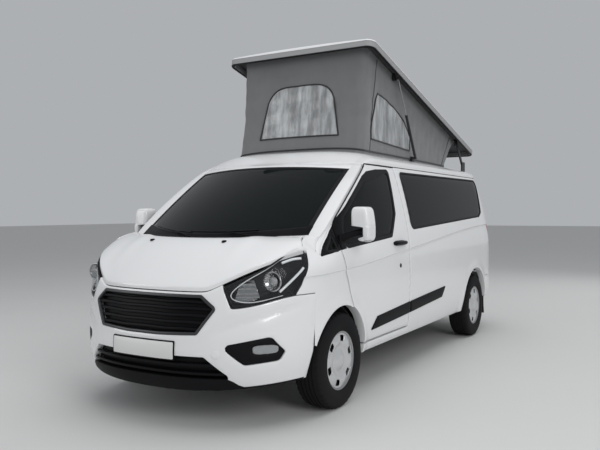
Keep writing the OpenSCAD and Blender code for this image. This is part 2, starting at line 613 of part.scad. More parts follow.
module mirror_body(left) {
  y0 = mirror_out - mirror_w;
  arm_z = mirror_z - 0.32 * mirror_h;
  color("white") left_or_right(left) union() {
    translate([mirror_x, 0, mirror_z]) intersection() {
      translate([0, y0, -mirror_h / 2]) cube([mirror_d, mirror_w, mirror_h]);
      along_x(0, mirror_d) polygon(rounded([[y0, -mirror_h / 2], [mirror_out, -mirror_h / 2],
        [mirror_out, mirror_h / 2], [y0, mirror_h / 2]], 0.3 * mirror_w, 5));
      linear_extrude(mirror_h, center = true) polygon(rounded([[0, y0], [0.35 * mirror_d, y0],
        [mirror_d, y0 + 0.25 * mirror_w], [0.85 * mirror_d, 0.99 * mirror_out], [0, mirror_out]], 0.2 * mirror_d, 5));
    }
    difference() {
      bar_y(mirror_x + 0.4 * mirror_d, arm_z, mirror_arm / 2, section(arm_z) - door_t, y0 + 0.3 * mirror_w);
      side_skin(door_rear, axle_f, door_low, rail_z, 2 * door_t, -seat_gap);
    }
  }
}
module door_left() door(true);
module door_right() door(false);
module door_left_glass() door_glass(true);
module door_right_glass() door_glass(false);
module mirror_left() mirror_body(true);
module mirror_right() mirror_body(false);

// tail: tailgate, its glass, lamps and bumper
gate_window = rounded([for (s = [[0.66, 0.645], [0.60, 0.882], [-0.60, 0.882], [-0.66, 0.645]])
  [s[0] * half_w, s[1] * roof_h]], 0.03 * roof_h, 6);
gate_hole = rounded([[gate_half, gate_low], [gate_half, 0.83 * roof_h], [0.90 * gate_half, 0.912 * roof_h],
  [0.70 * gate_half, gate_high], [-0.70 * gate_half, gate_high], [-0.90 * gate_half, 0.912 * roof_h],
  [-gate_half, 0.83 * roof_h], [-gate_half, gate_low]], 0.03 * roof_h);
module tail_skin(za, zb, d, t) {
  as = [for (k = [-8:8]) -62 * k / 8];
  zs = span(za, zb, 9);
  sheet([for (a = as) [for (z = zs) tail_at(a, z, d)]], [for (a = as) [for (z = zs) tail_at(a, z, d + t)]]);
}
module tailgate() {
  color("white") intersection() {
    tail_skin(gate_low, gate_high, 0, wall_t);
    along_x(2 * rear_x, 0) difference() { grown(gate_hole, 0); polygon(gate_window); }
    difference() {
      box([2 * rear_x, -body_w, 0], [0, body_w, roof_h]);
      box([gate_striker_x - 1.4 * striker_r, -striker_r - seat_gap, 0],
        [0, striker_r + seat_gap, gate_low + 3.8 * striker_r]);
    }
  }
}
module tailgate_glass() {
  color("grey") intersection() {
    tail_skin(0.6 * roof_h, gate_high, glass_in, glass_t);
    along_x(2 * rear_x, 0) grown(gate_window, -seat_gap);
  }
}
module tail_lamps() {
  color("red") both_sides() intersection() {
    rear_skin(tail_start + grid_step, 0.40 * roof_h, 0.75 * roof_h, wall_t - 2 * over, over);
    difference() {
      lamp_space(0);
      box([rear_x, 0, 0], [tail_start, gate_half + door_gap, roof_h]);
    }
  }
}
bumper_rear_low = 0.18 * roof_h;
module bumper_rear() {
  a_end = 84;
  function at_b(a, z, d) = let (p = tail_at(a, z, d)) [p[0] - 0.066 * rear_overhang * cos(0.9 * a), p[1], p[2]];
  as = [for (k = [-9:9]) -a_end * k / 9];
  zs = span(bumper_rear_low, gate_low - door_gap, 6);
  color("white") difference() {
    sheet([for (a = as) [for (z = zs) at_b(a, z, 0)]], [for (a = as) [for (z = zs) at_b(a, z, bumper_t)]]);
    rear_arch(seam);
    box([axle_r - rear_arch_r, -body_w, 0], [axle_f, body_w, roof_h]);
  }
  color("white") both_sides() box([rear_x + 0.8 * bumper_t, 0.42 * half_w, floor_z],
    [axle_r - 0.80 * rear_overhang - seat_gap, 0.50 * half_w, floor_z + floor_t]);
}

// floor, wheelhouses, firewall, rails and crash beam
floor_z = wheel_r + floor_up;
floor_t = 40;
liner_t = 8;
well_half = 0.545 * half_w;
front_liner_r = front_arch_r - liner_t - seat_gap;
firewall_x = axle_f + 0.12 * front_overhang;
rail_w = 70;
rail_h = 110;
beam_x = front_x - 0.215 * front_overhang;
beam_half = 0.45 * half_w;
jack_front = axle_f - 0.17 * wheelbase;
jack_rear = axle_r + 0.19 * wheelbase;
jack_y = 0.74 * half_w;
jack_drop = 20;
jack_z = sill_z - jack_drop;
tow_x = axle_r - 0.86 * rear_overhang;
tow_y = -0.30 * half_w;
tow_z = 0.162 * roof_h;
module wheelhouse(ax, r, y0, y1) {
  intersection() {
    difference() {
      bar_y(ax, wheel_r, r + liner_t, y0, y1);
      bar_y(ax, wheel_r, r, y0 + liner_t, y1 + over);
    }
    box([ax - body_w, 0, floor_z], [ax + body_w, body_w, roof_h]);
  }
}
module platform() {
  inner_y = section(floor_z) - door_t - door_gap;
  rear_y = section(floor_z) - wall_t - seam;
  color("dimgrey") union() {
    difference() {
      union() {
        box([axle_r - rear_overhang * 0.80, -0.78 * half_w, floor_z], [axle_r, 0.78 * half_w, floor_z + floor_t]);
        box([axle_r, -rear_y, floor_z], [door_rear - door_gap, rear_y, floor_z + floor_t]);
        box([axle_r, -inner_y, floor_z], [axle_f - front_arch_r, inner_y, floor_z + floor_t]);
        box([axle_f - front_arch_r - over, -well_half, floor_z], [firewall_x, well_half, floor_z + floor_t]);
      }
      both_sides() bar_y(axle_r, wheel_r, rear_arch_r - liner_t / 2, 0.64 * half_w, body_w);
      both_sides() bar_y(axle_f, wheel_r, front_liner_r + liner_t / 2, well_half - liner_t / 2, body_w);
    }
    both_sides() wheelhouse(axle_r, rear_arch_r - liner_t - seat_gap, 0.63 * half_w, 0.875 * half_w);
    difference() {
      both_sides() wheelhouse(axle_f, front_liner_r, well_half - liner_t, 0.90 * half_w);
      both_sides() box([axle_f - 3 * arm_r, well_half - 2 * liner_t, 0],
        [axle_f + 3 * arm_r, well_half + liner_t, wheel_r + pin_high]);
    }
    box([firewall_x, -well_half + over, floor_z], [firewall_x + floor_t / 2, well_half - over, hood_z - 4 * hood_pin_r]);
    box([firewall_x, -0.82 * half_w, wheel_r + front_arch_r + liner_t],
      [firewall_x + floor_t / 2, 0.82 * half_w, hood_z - 4 * hood_pin_r]);
    both_sides() {
      box([firewall_x, 0.42 * half_w - rail_w, floor_z], [beam_x, 0.42 * half_w, floor_z + rail_h]);
      difference() {
        box([axle_r - 0.75 * rear_overhang, 0.45 * half_w - rail_w, floor_z - rail_h / 2],
          [firewall_x, 0.45 * half_w, floor_z + over]);
        bar_y(axle_r, wheel_r, 2.1 * stub_r, 0, body_w);
      }
      bar_y(hood_x, hood_z, hood_pin_r, hood_y - hood_arm_t, hood_y + 2 * hood_arm_t);
      box([firewall_x + over, hood_y + hood_arm_t + door_gap, hood_z - 6 * hood_pin_r],
        [hood_x + 2 * hood_pin_r, hood_y + 2 * hood_arm_t + door_gap, hood_z + hood_pin_r]);
    }
    box([beam_x - over, -beam_half, floor_z], [beam_x + rail_w, beam_half, floor_z + rail_h]);
    difference() {
      both_sides() box([firewall_x, 0.77 * half_w, hood_z - 6 * hood_pin_r],
        [firewall_x + floor_t / 2, 0.82 * half_w, ws_base[1] + 0.05 * roof_h]);
      frame_sheet(-4 * frame_t, frame_t + seat_gap);
    }
    difference() {
      both_sides() box([jack_rear - jack_l / 2, jack_y, sill_z + 0.02 * roof_h],
        [jack_rear + jack_l / 2, section(sill_z) - wall_t / 2, floor_z + floor_t]);
      both_sides() rear_skin(door_rear, sill_z, rail_z - seat_gap, wall_t + seat_gap);
      mirror([0, 1, 0]) side_skin(axle_r + 0.15 * wheelbase, door_rear, door_low, rail_z, wall_t + seat_gap);
    }
    difference() {
      both_sides() box([axle_f - jack_w / 2, 0.85 * half_w, wheel_r + front_liner_r + liner_t / 2],
        [axle_f + jack_w / 2, section(wheel_r + front_arch_r) - wing_t / 2, wheel_r + front_arch_r + 0.02 * roof_h]);
      both_sides() wing_skin(wing_t + seat_gap);
    }
    box([axle_r - 0.80 * rear_overhang, -3 * striker_r, floor_z],
      [axle_r - 0.78 * rear_overhang, 3 * striker_r, gate_low - door_gap]);
    box([gate_striker_x - 2 * striker_r, -2 * striker_r, gate_low - door_gap - 2 * striker_r],
      [axle_r - 0.78 * rear_overhang, 2 * striker_r, gate_low - door_gap]);
    bar_z(gate_striker_x, 0, striker_r, gate_low - door_gap - striker_r, gate_low + 3 * striker_r);
    both_sides() for (x = [jack_front, jack_rear]) box([x - jack_l / 2, jack_y - jack_w / 2, jack_z],
      [x + jack_l / 2, jack_y + jack_w / 2, floor_z + over]);
    difference() {
      along_y(tow_y - tow_t / 2, tow_y + tow_t / 2) polygon(rounded([
        [axle_r - 0.78 * rear_overhang, floor_z + 0.5 * floor_t], [axle_r - 0.6 * rear_overhang, floor_z + 0.5 * floor_t],
        [axle_r - 0.70 * rear_overhang, tow_z - 2 * tow_r], [tow_x - 2 * tow_r, tow_z - 2 * tow_r],
        [tow_x - 2 * tow_r, tow_z + 2 * tow_r]], tow_r));
      bar_y(tow_x, tow_z, tow_r, -body_w, body_w);
    }
  }
}

// running gear
engine_l = 0.40 * front_overhang;
engine_half = 0.36 * half_w - rail_w / 2;
module engine() {
  color("dimgrey") box([firewall_x + floor_t, -engine_half, 0.17 * roof_h],
    [firewall_x + floor_t + engine_l, engine_half, 0.50 * roof_h]);
  color("dimgrey") both_sides() box([firewall_x + 2 * floor_t, engine_half - over, floor_z + 0.3 * rail_h],
    [firewall_x + 4 * floor_t, 0.42 * half_w - rail_w - seat_gap, floor_z + 0.8 * rail_h]);
}
pin_high = 100;
arm_r = 22;
ear_h = 26;
module front_suspension() {
  in_y = 0.345 * half_w;
  spring_r = 2 * arm_r;
  low_z = wheel_r - pin_high - 1.6 * ear_h;
  high_z = wheel_r + pin_high + 1.6 * ear_h;
  color("dimgrey") union() {
    box([axle_f - 0.12 * front_overhang, -in_y - arm_r, wheel_r - pin_high - 2 * ear_h],
      [axle_f + 0.10 * front_overhang, in_y + arm_r, wheel_r - pin_high + ear_h / 2]);
    both_sides() {
      for (s = [-1, 1]) bar_z(axle_f, kingpin_y, kingpin_r, wheel_r + s * pin_high - (s < 0 ? 2.2 : 1.2) * ear_h,
        wheel_r + s * pin_high + (s < 0 ? 1.2 : 2.2) * ear_h);
      for (z = [low_z, high_z]) bar_z(axle_f, kingpin_y, 1.6 * kingpin_r, z - 0.6 * ear_h, z + 0.6 * ear_h);
      rod_between([axle_f - 0.1 * front_overhang, in_y, low_z], [axle_f, kingpin_y, low_z], 0.5 * ear_h);
      rod_between([axle_f + 0.08 * front_overhang, in_y, low_z], [axle_f, kingpin_y, low_z], 0.5 * ear_h);
      bar_y(axle_f, high_z, 0.5 * ear_h, well_half + seat_gap, kingpin_y);
      bar_z(axle_f, 0.61 * half_w, spring_r, low_z, wheel_r + sqrt(pow(front_liner_r, 2) - pow(spring_r, 2)) - seat_gap);
    }
  }
}
module knuckle(left) {
  hub_in = kingpin_y - 2.4 * kingpin_r;
  color("dimgrey") left_or_right(left) difference() {
    union() {
      for (s = [-1, 1]) bar_z(axle_f, kingpin_y, 2.4 * kingpin_r, wheel_r + s * pin_high - 0.9 * ear_h,
        wheel_r + s * pin_high + 0.9 * ear_h);
      box([axle_f - 1.6 * kingpin_r, kingpin_y - 2 * kingpin_r, wheel_r - pin_high],
        [axle_f + 1.6 * kingpin_r, kingpin_y + 2 * kingpin_r, wheel_r + pin_high]);
      bar_y(axle_f, wheel_r, stub_r, kingpin_y, wheel_y + 0.32 * tyre_w);
      bar_y(axle_f, wheel_r, 1.8 * stub_r, kingpin_y, kingpin_y + 2.3 * kingpin_r);
    }
    bar_z(axle_f, kingpin_y, kingpin_r + run_gap, 0, wheel_r - pin_high + 1.25 * ear_h);
    bar_z(axle_f, kingpin_y, kingpin_r + run_gap, wheel_r + pin_high - 1.25 * ear_h, roof_h);
  }
}
module knuckle_left() knuckle(true);
module knuckle_right() knuckle(false);
module rear_axle() {
  spring_y = 0.58 * half_w;
  color("dimgrey") union() {
    bar_y(axle_r, wheel_r, 1.4 * stub_r, -(wheel_y - 0.10 * tyre_w), wheel_y - 0.10 * tyre_w);
    bar_y(axle_r, wheel_r, stub_r, -(wheel_y + 0.32 * tyre_w), wheel_y + 0.32 * tyre_w);
    both_sides() {
      box([axle_r - 0.19 * wheelbase, spring_y - rail_w / 2, wheel_r - 1.9 * stub_r],
        [axle_r + 0.19 * wheelbase, spring_y + rail_w / 2, wheel_r - stub_r]);
      for (s = [-1, 1]) box([axle_r + s * 0.18 * wheelbase - 0.3 * rail_w, spring_y - 2 * rail_w, wheel_r - 1.9 * stub_r],
        [axle_r + s * 0.18 * wheelbase + 0.3 * rail_w, spring_y, floor_z - rail_h / 2 - seat_gap]);
    }
  }
}
module exhaust() {
  z = floor_z - 0.87 * rail_h;
  y = -0.20 * half_w;
  tail = axle_r + 0.23 * wheelbase;
  color("silver") union() {
    bar_x(y, z, pipe_r, tail, axle_f - 0.2 * wheelbase);
    bar_x(y, z, 2.5 * pipe_r, tail + 0.04 * wheelbase, tail + 0.18 * wheelbase);
    bar_x(y, z, 2.2 * pipe_r, axle_f - 0.42 * wheelbase, axle_f - 0.28 * wheelbase);
    bar_y(tail + 0.02 * wheelbase, z, pipe_r, -0.86 * half_w, y);
    for (x = [tail + 0.02 * wheelbase, axle_f - 0.25 * wheelbase])
      box([x - pipe_r / 2, y - pipe_r / 2, z], [x + pipe_r / 2, y + pipe_r / 2, floor_z - seat_gap]);
  }
}
module fuel_tank() {
  color("black") translate([axle_f - 0.62 * wheelbase, -0.02 * half_w, floor_z - seat_gap - 0.085 * roof_h])
    linear_extrude(0.085 * roof_h) polygon(rounded([[0, 0], [0.27 * wheelbase, 0],
      [0.27 * wheelbase, 0.39 * half_w], [0, 0.39 * half_w]], 0.05 * half_w));
}
module tyre(x, y) {
  crown = 0.12 * tyre_w;
  rim_r = rim_d / 2 + seat_gap;
  wall = wheel_r - rim_r;
  p = rounded([[rim_r, -0.395 * tyre_w], [rim_r + 0.16 * wall, -0.395 * tyre_w], [rim_r + 0.25 * wall, -0.47 * tyre_w],
    [rim_r + 0.5 * wall, -tyre_w / 2], [wheel_r - crown, -0.47 * tyre_w], [wheel_r, -0.38 * tyre_w],
    [wheel_r, 0.38 * tyre_w], [wheel_r - crown, 0.47 * tyre_w], [rim_r + 0.5 * wall, tyre_w / 2],
    [rim_r + 0.25 * wall, 0.47 * tyre_w], [rim_r + 0.16 * wall, 0.395 * tyre_w], [rim_r, 0.395 * tyre_w]],
    0.03 * tyre_w, 3);
  color("black") translate([x, y, wheel_r]) rotate([90, 0, 0]) rotate_extrude() polygon(p);
}
// wheel with its cover, outer face towards +Y before the turn
slot_n = 6;
module rim(x, y, left) {
  r = rim_d / 2;
  w = 0.40 * tyre_w;
  lip = 16;
  t = 12;
  p = [[stub_r + run_gap, 0.06 * tyre_w], [2.1 * stub_r, 0.06 * tyre_w], [2.1 * stub_r, 0.17 * tyre_w],
    [r - 2.6 * t, 0.24 * tyre_w], [r - t, 0.14 * tyre_w], [r - t, -w], [r + lip, -w - t], [r + lip, -w - seat_gap], [r, -w - seat_gap],
    [r, w + seat_gap], [r + lip, w + seat_gap], [r + lip, w + t], [r - t, w + 0.4 * t], [r - 2.2 * t, 0.34 * tyre_w],
    [2.4 * stub_r, 0.40 * tyre_w], [1.9 * stub_r, 0.44 * tyre_w], [0, 0.45 * tyre_w], [0, 0.34 * tyre_w],
    [stub_r + run_gap, 0.34 * tyre_w]];
  color("silver") translate([x, y, wheel_r]) left_or_right(left) rotate([-90, 0, 0]) difference() {
    rotate_extrude() polygon(p);
    for (k = [0:slot_n - 1]) rotate([0, 0, (k + 0.25) * 360 / slot_n]) translate([0.76 * r, 0, 0])
      linear_extrude(tyre_w) polygon(rounded([[-0.10 * r, -0.17 * r], [0.09 * r, -0.22 * r],
        [0.09 * r, 0.22 * r], [-0.10 * r, 0.17 * r]], 0.06 * r));
  }
}
module tyre_front_left() tyre(axle_f, wheel_y);
module tyre_front_right() tyre(axle_f, -wheel_y);
module tyre_rear_left() tyre(axle_r, wheel_y);
module tyre_rear_right() tyre(axle_r, -wheel_y);
module wheel_front_left() rim(axle_f, wheel_y, true);
module wheel_front_right() rim(axle_f, -wheel_y, false);
module wheel_rear_left() rim(axle_r, wheel_y, true);
module wheel_rear_right() rim(axle_r, -wheel_y, false);

// cab
dash_x = axle_f + 0.02 * front_overhang;
module dashboard() {
  color("black") along_y(-0.80 * half_w, 0.80 * half_w) polygon(dash_outline);
}
dash_outline = rounded([[dash_x - 0.09 * wheelbase, 0.44 * roof_h], [dash_x - 0.105 * wheelbase, 0.53 * roof_h],
    [dash_x - 0.06 * wheelbase, 0.595 * roof_h], [dash_x, 0.605 * roof_h], [firewall_x - seat_gap, 0.58 * roof_h],
    [firewall_x - seat_gap, 0.44 * roof_h], [dash_x - 0.03 * wheelbase, 0.40 * roof_h]], 0.02 * roof_h);
helm_x = dash_x - 0.155 * wheelbase;
helm_y = 0.42 * half_w;
helm_z = 0.555 * roof_h;
helm_tilt = 36;
helm_reach = 1.8 * helm_r;
module steering_wheel() {
  color("black") difference() {
    helm();
    along_y(0, half_w) grown(dash_outline, seat_gap);
  }
}
module helm() {
  translate([helm_x, helm_y, helm_z]) rotate([0, helm_tilt - 90, 0]) union() {
    rotate_extrude() translate([helm_r - helm_rim_r, 0]) circle(r = helm_rim_r);
    translate([0, 0, -2 * helm_rim_r]) cylinder(r = 0.32 * helm_r, h = 2.6 * helm_rim_r);
    for (a = [0, 130, 230]) rotate([0, 0, a]) bar_x(0, -0.3 * helm_rim_r, 0.6 * helm_rim_r, 0.1 * helm_r,
      helm_r - helm_rim_r);
    translate([0, 0, -helm_reach]) cylinder(r = 2 * helm_rim_r, h = helm_reach);
  }
}
cushion_h = 130;
module seat(x, y, w) {
  z0 = floor_z + floor_t + seat_gap;
  seat_z = z0 + 0.165 * roof_h;
  translate([x, y - w / 2, 0]) {
    box([0.03 * wheelbase, 0.1 * w, z0], [0.14 * wheelbase, 0.9 * w, seat_z + over]);
    along_y(0, w) polygon(rounded([[0, seat_z], [0.17 * wheelbase, seat_z], [0.17 * wheelbase, seat_z + cushion_h],
      [0, seat_z + 0.8 * cushion_h]], 0.35 * cushion_h));
    along_y(0, w) polygon(rounded([[0, seat_z + 0.3 * cushion_h], [0.05 * wheelbase, seat_z + 0.5 * cushion_h],
      [-0.01 * wheelbase, seat_z + 0.33 * roof_h], [-0.035 * wheelbase, seat_z + 0.33 * roof_h]], 0.25 * cushion_h));
    along_y(0.27 * w, 0.73 * w) polygon(rounded([[-0.034 * wheelbase, seat_z + 0.32 * roof_h],
      [-0.010 * wheelbase, seat_z + 0.32 * roof_h], [-0.016 * wheelbase, seat_z + 0.42 * roof_h],
      [-0.045 * wheelbase, seat_z + 0.42 * roof_h]], 0.15 * cushion_h));
  }
}
module seats() {
  color("dimgrey") {
    seat(axle_f - 0.34 * wheelbase, 0.42 * half_w, seat_w);
    seat(axle_f - 0.34 * wheelbase, -0.42 * half_w, seat_w);
    seat(axle_r + 0.19 * wheelbase, -0.08 * half_w, 1.25 * half_w);
  }
}

// raised roof: shell, lift arms, struts and tent
tilt_dir = [cos(shell_tilt), sin(shell_tilt)];
tilt_up = [-sin(shell_tilt), cos(shell_tilt)];
function on_shell(s, d) = [shell_front_x, shell_front_z] - s * tilt_dir - d * tilt_up;
arm_rise = 28;
arm_drop = 22;
arm_base = [on_shell(shell_l, 0)[0] + 0.101 * shell_l, roof_h + arm_rise];
arm_top = on_shell(0.841 * shell_l, shell_rim + arm_drop);
arm_y = 0.911 * shell_half;
arm_pin_r = 9;
module pop_roof() {
  function edge(k, d) = let (c = 0.10 * shell_half) rounded([[-d, -shell_half + d], [-d, shell_half - d],
    [-shell_l + d, shell_half - d], [-shell_l + d, -shell_half + d]], c, 5);
  color("white") union() {
    translate([shell_front_x, 0, shell_front_z]) rotate([0, -shell_tilt, 0]) union() {
      difference() {
        translate([0, 0, -shell_rim]) linear_extrude(shell_rim) polygon(edge(0, 0));
        translate([0, 0, -shell_rim - over]) linear_extrude(shell_rim - shell_t + over) polygon(edge(0, shell_t));
      }
    }
    both_sides() difference() {
      translate([arm_top[0], arm_y - arm_t, arm_top[1]]) rotate([0, -shell_tilt, 0])
        box([-2.4 * arm_t, 0, -2 * arm_pin_r], [2.4 * arm_t, arm_t - over, shell_rim - shell_t + arm_drop + 2 * over]);
      bar_y(arm_top[0], arm_top[1], arm_pin_r + run_gap, 0, body_w);
    }
    both_sides() bar_y(eye_top[0], eye_top[1], strut_pin_r, strut_y - 4 * strut_r, strut_y + strut_r);
    both_sides() translate([eye_top[0], strut_y - 4 * strut_r, eye_top[1]]) rotate([0, -shell_tilt, 0])
      box([-2 * strut_r, 0, -strut_r], [2 * strut_r, 2.3 * strut_r, shell_rim - shell_t + 3.5 * eye_drop]);
  }
}
module lift_arms() {
  d = arm_top - arm_base;
  color("black") both_sides() difference() {
    union() {
      translate([arm_base[0], arm_y, arm_base[1]]) rotate([0, -atan2(d[1], d[0]), 0])
        along_y(over, arm_t) polygon(rounded([[-2 * arm_t, -1.5 * arm_t], [norm(d) + 2 * arm_t, -1.5 * arm_t],
          [norm(d) + 2 * arm_t, 1.5 * arm_t], [-2 * arm_t, 1.5 * arm_t]], 1.4 * arm_t, 6));
      bar_y(arm_top[0], arm_top[1], arm_pin_r, arm_y - arm_t, arm_y + arm_t - over);
    }
    bar_y(arm_base[0], arm_base[1], arm_pin_r + run_gap, 0, body_w);
  }
}
strut_y = 0.9305 * shell_half;
strut_pin_r = 6;
eye_low = [axle_f - 0.645 * wheelbase, roof_h - 0.002 * roof_h];
eye_drop = 4;
eye_top = on_shell(0.235 * shell_l, shell_rim + eye_drop);
strut_dir = unit(eye_top - eye_low);
strut_len = norm(eye_top - eye_low);
cylinder_share = 0.56;
module roof_brackets() {
  color("black") union() {
    difference() {
      both_sides() {
        translate([arm_base[0], arm_y + arm_t + over, arm_base[1]])
          box([-4 * arm_t, 0, -0.055 * roof_h], [4 * arm_t, arm_t, 2 * arm_pin_r]);
        translate([eye_low[0], strut_y - 3.4 * strut_r, eye_low[1]])
          box([-2 * strut_r, 0, -0.06 * roof_h], [2 * strut_r, 1.8 * strut_r, strut_r]);
      }
      roof_solid();
    }
    both_sides() {
      bar_y(arm_base[0], arm_base[1], arm_pin_r, arm_y - 4 * over, arm_y + arm_t + 2 * over);
      bar_y(eye_low[0], eye_low[1], strut_pin_r, strut_y - 3 * strut_r, strut_y + strut_r);
    }
  }
}
// solid below the roof's outer face, grown by the seat gap
module roof_solid() {
  sheet([for (a = roof_angles) [for (p = roof_row(a, -seat_gap, 22)) p]],
    [for (a = roof_angles) [for (p = roof_row(a, 4 * roof_t, 22)) p]]);
}
module strut_cylinders() {
  a = atan2(strut_dir[1], strut_dir[0]);
  color("black") both_sides() translate([eye_low[0], strut_y, eye_low[1]]) rotate([0, -a, 0]) difference() {
    union() {
      translate([0, -0.7 * strut_r, 0]) rotate([-90, 0, 0]) cylinder(r = strut_pin_r + 0.5 * strut_r, h = 1.4 * strut_r);
      bar_x(0, 0, 0.6 * strut_r, 0.6 * strut_r, 2 * strut_r);
      bar_x(0, 0, strut_r, 1.5 * strut_r, cylinder_share * strut_len);
    }
    bar_y(0, 0, strut_pin_r + run_gap, -body_w, body_w);
    bar_x(0, 0, rod_r + run_gap, 3 * strut_r, strut_len);
  }
}
module strut_rods() {
  a = atan2(strut_dir[1], strut_dir[0]);
  color("silver") both_sides() translate([eye_low[0], strut_y, eye_low[1]]) rotate([0, -a, 0]) difference() {
    union() {
      bar_x(0, 0, rod_r, 0.46 * strut_len, strut_len);
      translate([strut_len, -0.7 * strut_r, 0]) rotate([-90, 0, 0]) cylinder(r = strut_pin_r + 0.5 * strut_r, h = 1.4 * strut_r);
    }
    bar_y(strut_len, 0, strut_pin_r + run_gap, -body_w, body_w);
  }
}
tent_front_low = shell_front_x + 0.004 * wheelbase;
tent_rear_low = axle_r + 0.03 * wheelbase;
tent_half = 0.859 * shell_half;
module tent_block(d) {
  top_f = on_shell(0.035 * shell_l + d, shell_t + seat_gap - d);
  top_r = on_shell(0.8645 * shell_l - d, shell_t + seat_gap - d);
  h = tent_half - d;
  low = 0.94 * roof_h - d;
  sheet([for (p = [top_r, top_f]) [for (y = [-h, h]) [p[0], y, p[1]]]],
    [for (x = [tent_rear_low + d, tent_front_low - d]) [for (y = [-h, h]) [x, y, low]]]);
}
module tent() {
  color("grey") difference() {
    tent_block(0);
    tent_block(tent_t);
    roof_solid();
  }
}

platform();
side_left();
side_right();
sliding_door();
roof_panel();
windscreen_frame();
windscreen();
wing_left();
wing_right();
bumper_front();
grille();
headlamps();
fog_lamps();
side_glass();
bumper_rear();
tail_lamps();
engine();
front_suspension();
rear_axle();
exhaust();
fuel_tank();
dashboard();
steering_wheel();
seats();
roof_brackets();
tent();
door_left();
door_left_glass();
mirror_left();
door_right();
door_right_glass();
mirror_right();
bonnet();
tailgate();
tailgate_glass();
lift_arms();
pop_roof();
strut_cylinders();
strut_rods();
knuckle_left();
knuckle_right();
tyre_front_left();
wheel_front_left();
tyre_front_right();
wheel_front_right();
tyre_rear_left();
wheel_rear_left();
tyre_rear_right();
wheel_rear_right();
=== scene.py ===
"""Looks of a camper van with a raised pop-up roof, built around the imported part.

Shapes are worked out in millimetres in the part's own frame: X forward, Y left, Z up, ground at Z = 0.
Meshes are written in metres.
"""

from __future__ import annotations

import logging
import math
from dataclasses import dataclass, field
from enum import Enum
from typing import Any, Callable, Sequence

import bpy
import numpy as np
from mathutils import Matrix, Vector, geometry

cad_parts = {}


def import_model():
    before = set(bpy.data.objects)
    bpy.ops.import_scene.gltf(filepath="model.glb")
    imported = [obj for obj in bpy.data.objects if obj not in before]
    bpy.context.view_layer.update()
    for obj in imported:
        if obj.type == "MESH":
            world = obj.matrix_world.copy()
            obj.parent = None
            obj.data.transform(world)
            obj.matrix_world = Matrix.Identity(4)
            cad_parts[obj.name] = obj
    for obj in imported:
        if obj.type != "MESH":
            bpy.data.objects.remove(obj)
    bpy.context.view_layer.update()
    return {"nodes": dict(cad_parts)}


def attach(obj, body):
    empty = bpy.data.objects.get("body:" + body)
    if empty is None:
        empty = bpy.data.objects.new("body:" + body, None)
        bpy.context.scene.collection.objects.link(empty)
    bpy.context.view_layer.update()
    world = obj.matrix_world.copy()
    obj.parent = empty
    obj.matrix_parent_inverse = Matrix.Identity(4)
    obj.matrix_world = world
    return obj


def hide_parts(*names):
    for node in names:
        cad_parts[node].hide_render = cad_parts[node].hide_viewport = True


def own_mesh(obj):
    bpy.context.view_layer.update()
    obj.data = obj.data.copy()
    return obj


LOG = logging.getLogger("camper")
Array = np.ndarray
Surface = Callable[[Array, Array, Array], Array]
Shape = tuple[Array, Sequence[Array]]
MM = 0.001
TINY = 1e-9
OUTLINE_STEP = 14  # spacing of the points along a panel's edge
BODY = "van_body"
FACE_D = 20  # a depth below this lies on a surface's outer face, which carries the relief


class Side(Enum):
    """Left or right half of the van, as the sign of Y."""

    LEFT = 1
    RIGHT = -1

    @property
    def tag(self) -> str:
        """The side as it stands in the names of pieces."""
        return self.name.lower()


# ---- shared maths ----


def mix(a: Any, b: Any, t: Any) -> Any:
    """Straight blend from a to b."""
    return a + (b - a) * t


def ease(t: Any) -> Array:
    """Smooth step from 0 to 1."""
    c = np.clip(t, 0, 1)
    return c * c * (3 - 2 * c)


def bend(u: Any, power: float) -> Array:
    """Quarter of a superellipse: 1 at u = 0, down to 0 at u = 1."""
    return np.maximum(0, 1 - np.clip(u, 0, 1) ** power) ** (1 / power)


def curl(v: Any, power: float) -> Array:
    """Power that keeps the sign; it squares up a circle's sine and cosine."""
    return np.sign(v) * np.abs(v) ** power


def turn(n: int) -> Array:
    """Angles round a full circle."""
    return np.linspace(0, 2 * math.pi, n, endpoint=False)


def unit(v: Array) -> Array:
    """Vectors brought to length 1, along the last axis."""
    return v / np.maximum(np.linalg.norm(v, axis=-1, keepdims=True), TINY)


def pairs(*columns: Any) -> Array:
    """Columns of the same length, or single values, side by side."""
    return np.stack(np.broadcast_arrays(*(np.asarray(c, float) for c in columns)), -1)


def between(x: Array, low: Any, high: Any) -> Array:
    """Closed outline along one curve over x and back along another."""
    return np.concatenate([pairs(x, low), pairs(x, high)[::-1]])


def box(width: float, height: float, mid: float, radius: float) -> Array:
    """Rounded rectangle about the middle line, at a height."""
    w, h = width / 2, height / 2
    return rounded([(-w, mid - h), (w, mid - h), (w, mid + h), (-w, mid + h)], radius)


def through(x: Any, table: Sequence[tuple[float, float]]) -> Array:
    """Monotone cubic through a table of (place, value) pairs.

    Args:
        x: places to read.
        table: pairs with rising places.

    Returns:
        The values, held at the table's ends.
    """
    t = np.asarray(table, float)
    xs, ys = t[:, 0], t[:, 1]
    h = np.diff(xs)
    s = np.diff(ys) / h
    a, b = s[:-1], s[1:]
    inner = np.where(a * b > 0, 2 * a * b / np.where(a * b > 0, a + b, 1), 0)
    m = np.concatenate([s[:1], inner, s[-1:]])
    x = np.asarray(x, float)
    i = np.clip(np.searchsorted(xs, x) - 1, 0, len(h) - 1)
    u = np.clip((x - xs[i]) / h[i], 0, 1)
    return (
        ys[i] * (1 + 2 * u) * (1 - u) ** 2
        + ys[i + 1] * u * u * (3 - 2 * u)
        + h[i] * (m[i] * u * (1 - u) ** 2 - m[i + 1] * u * u * (1 - u))
    )


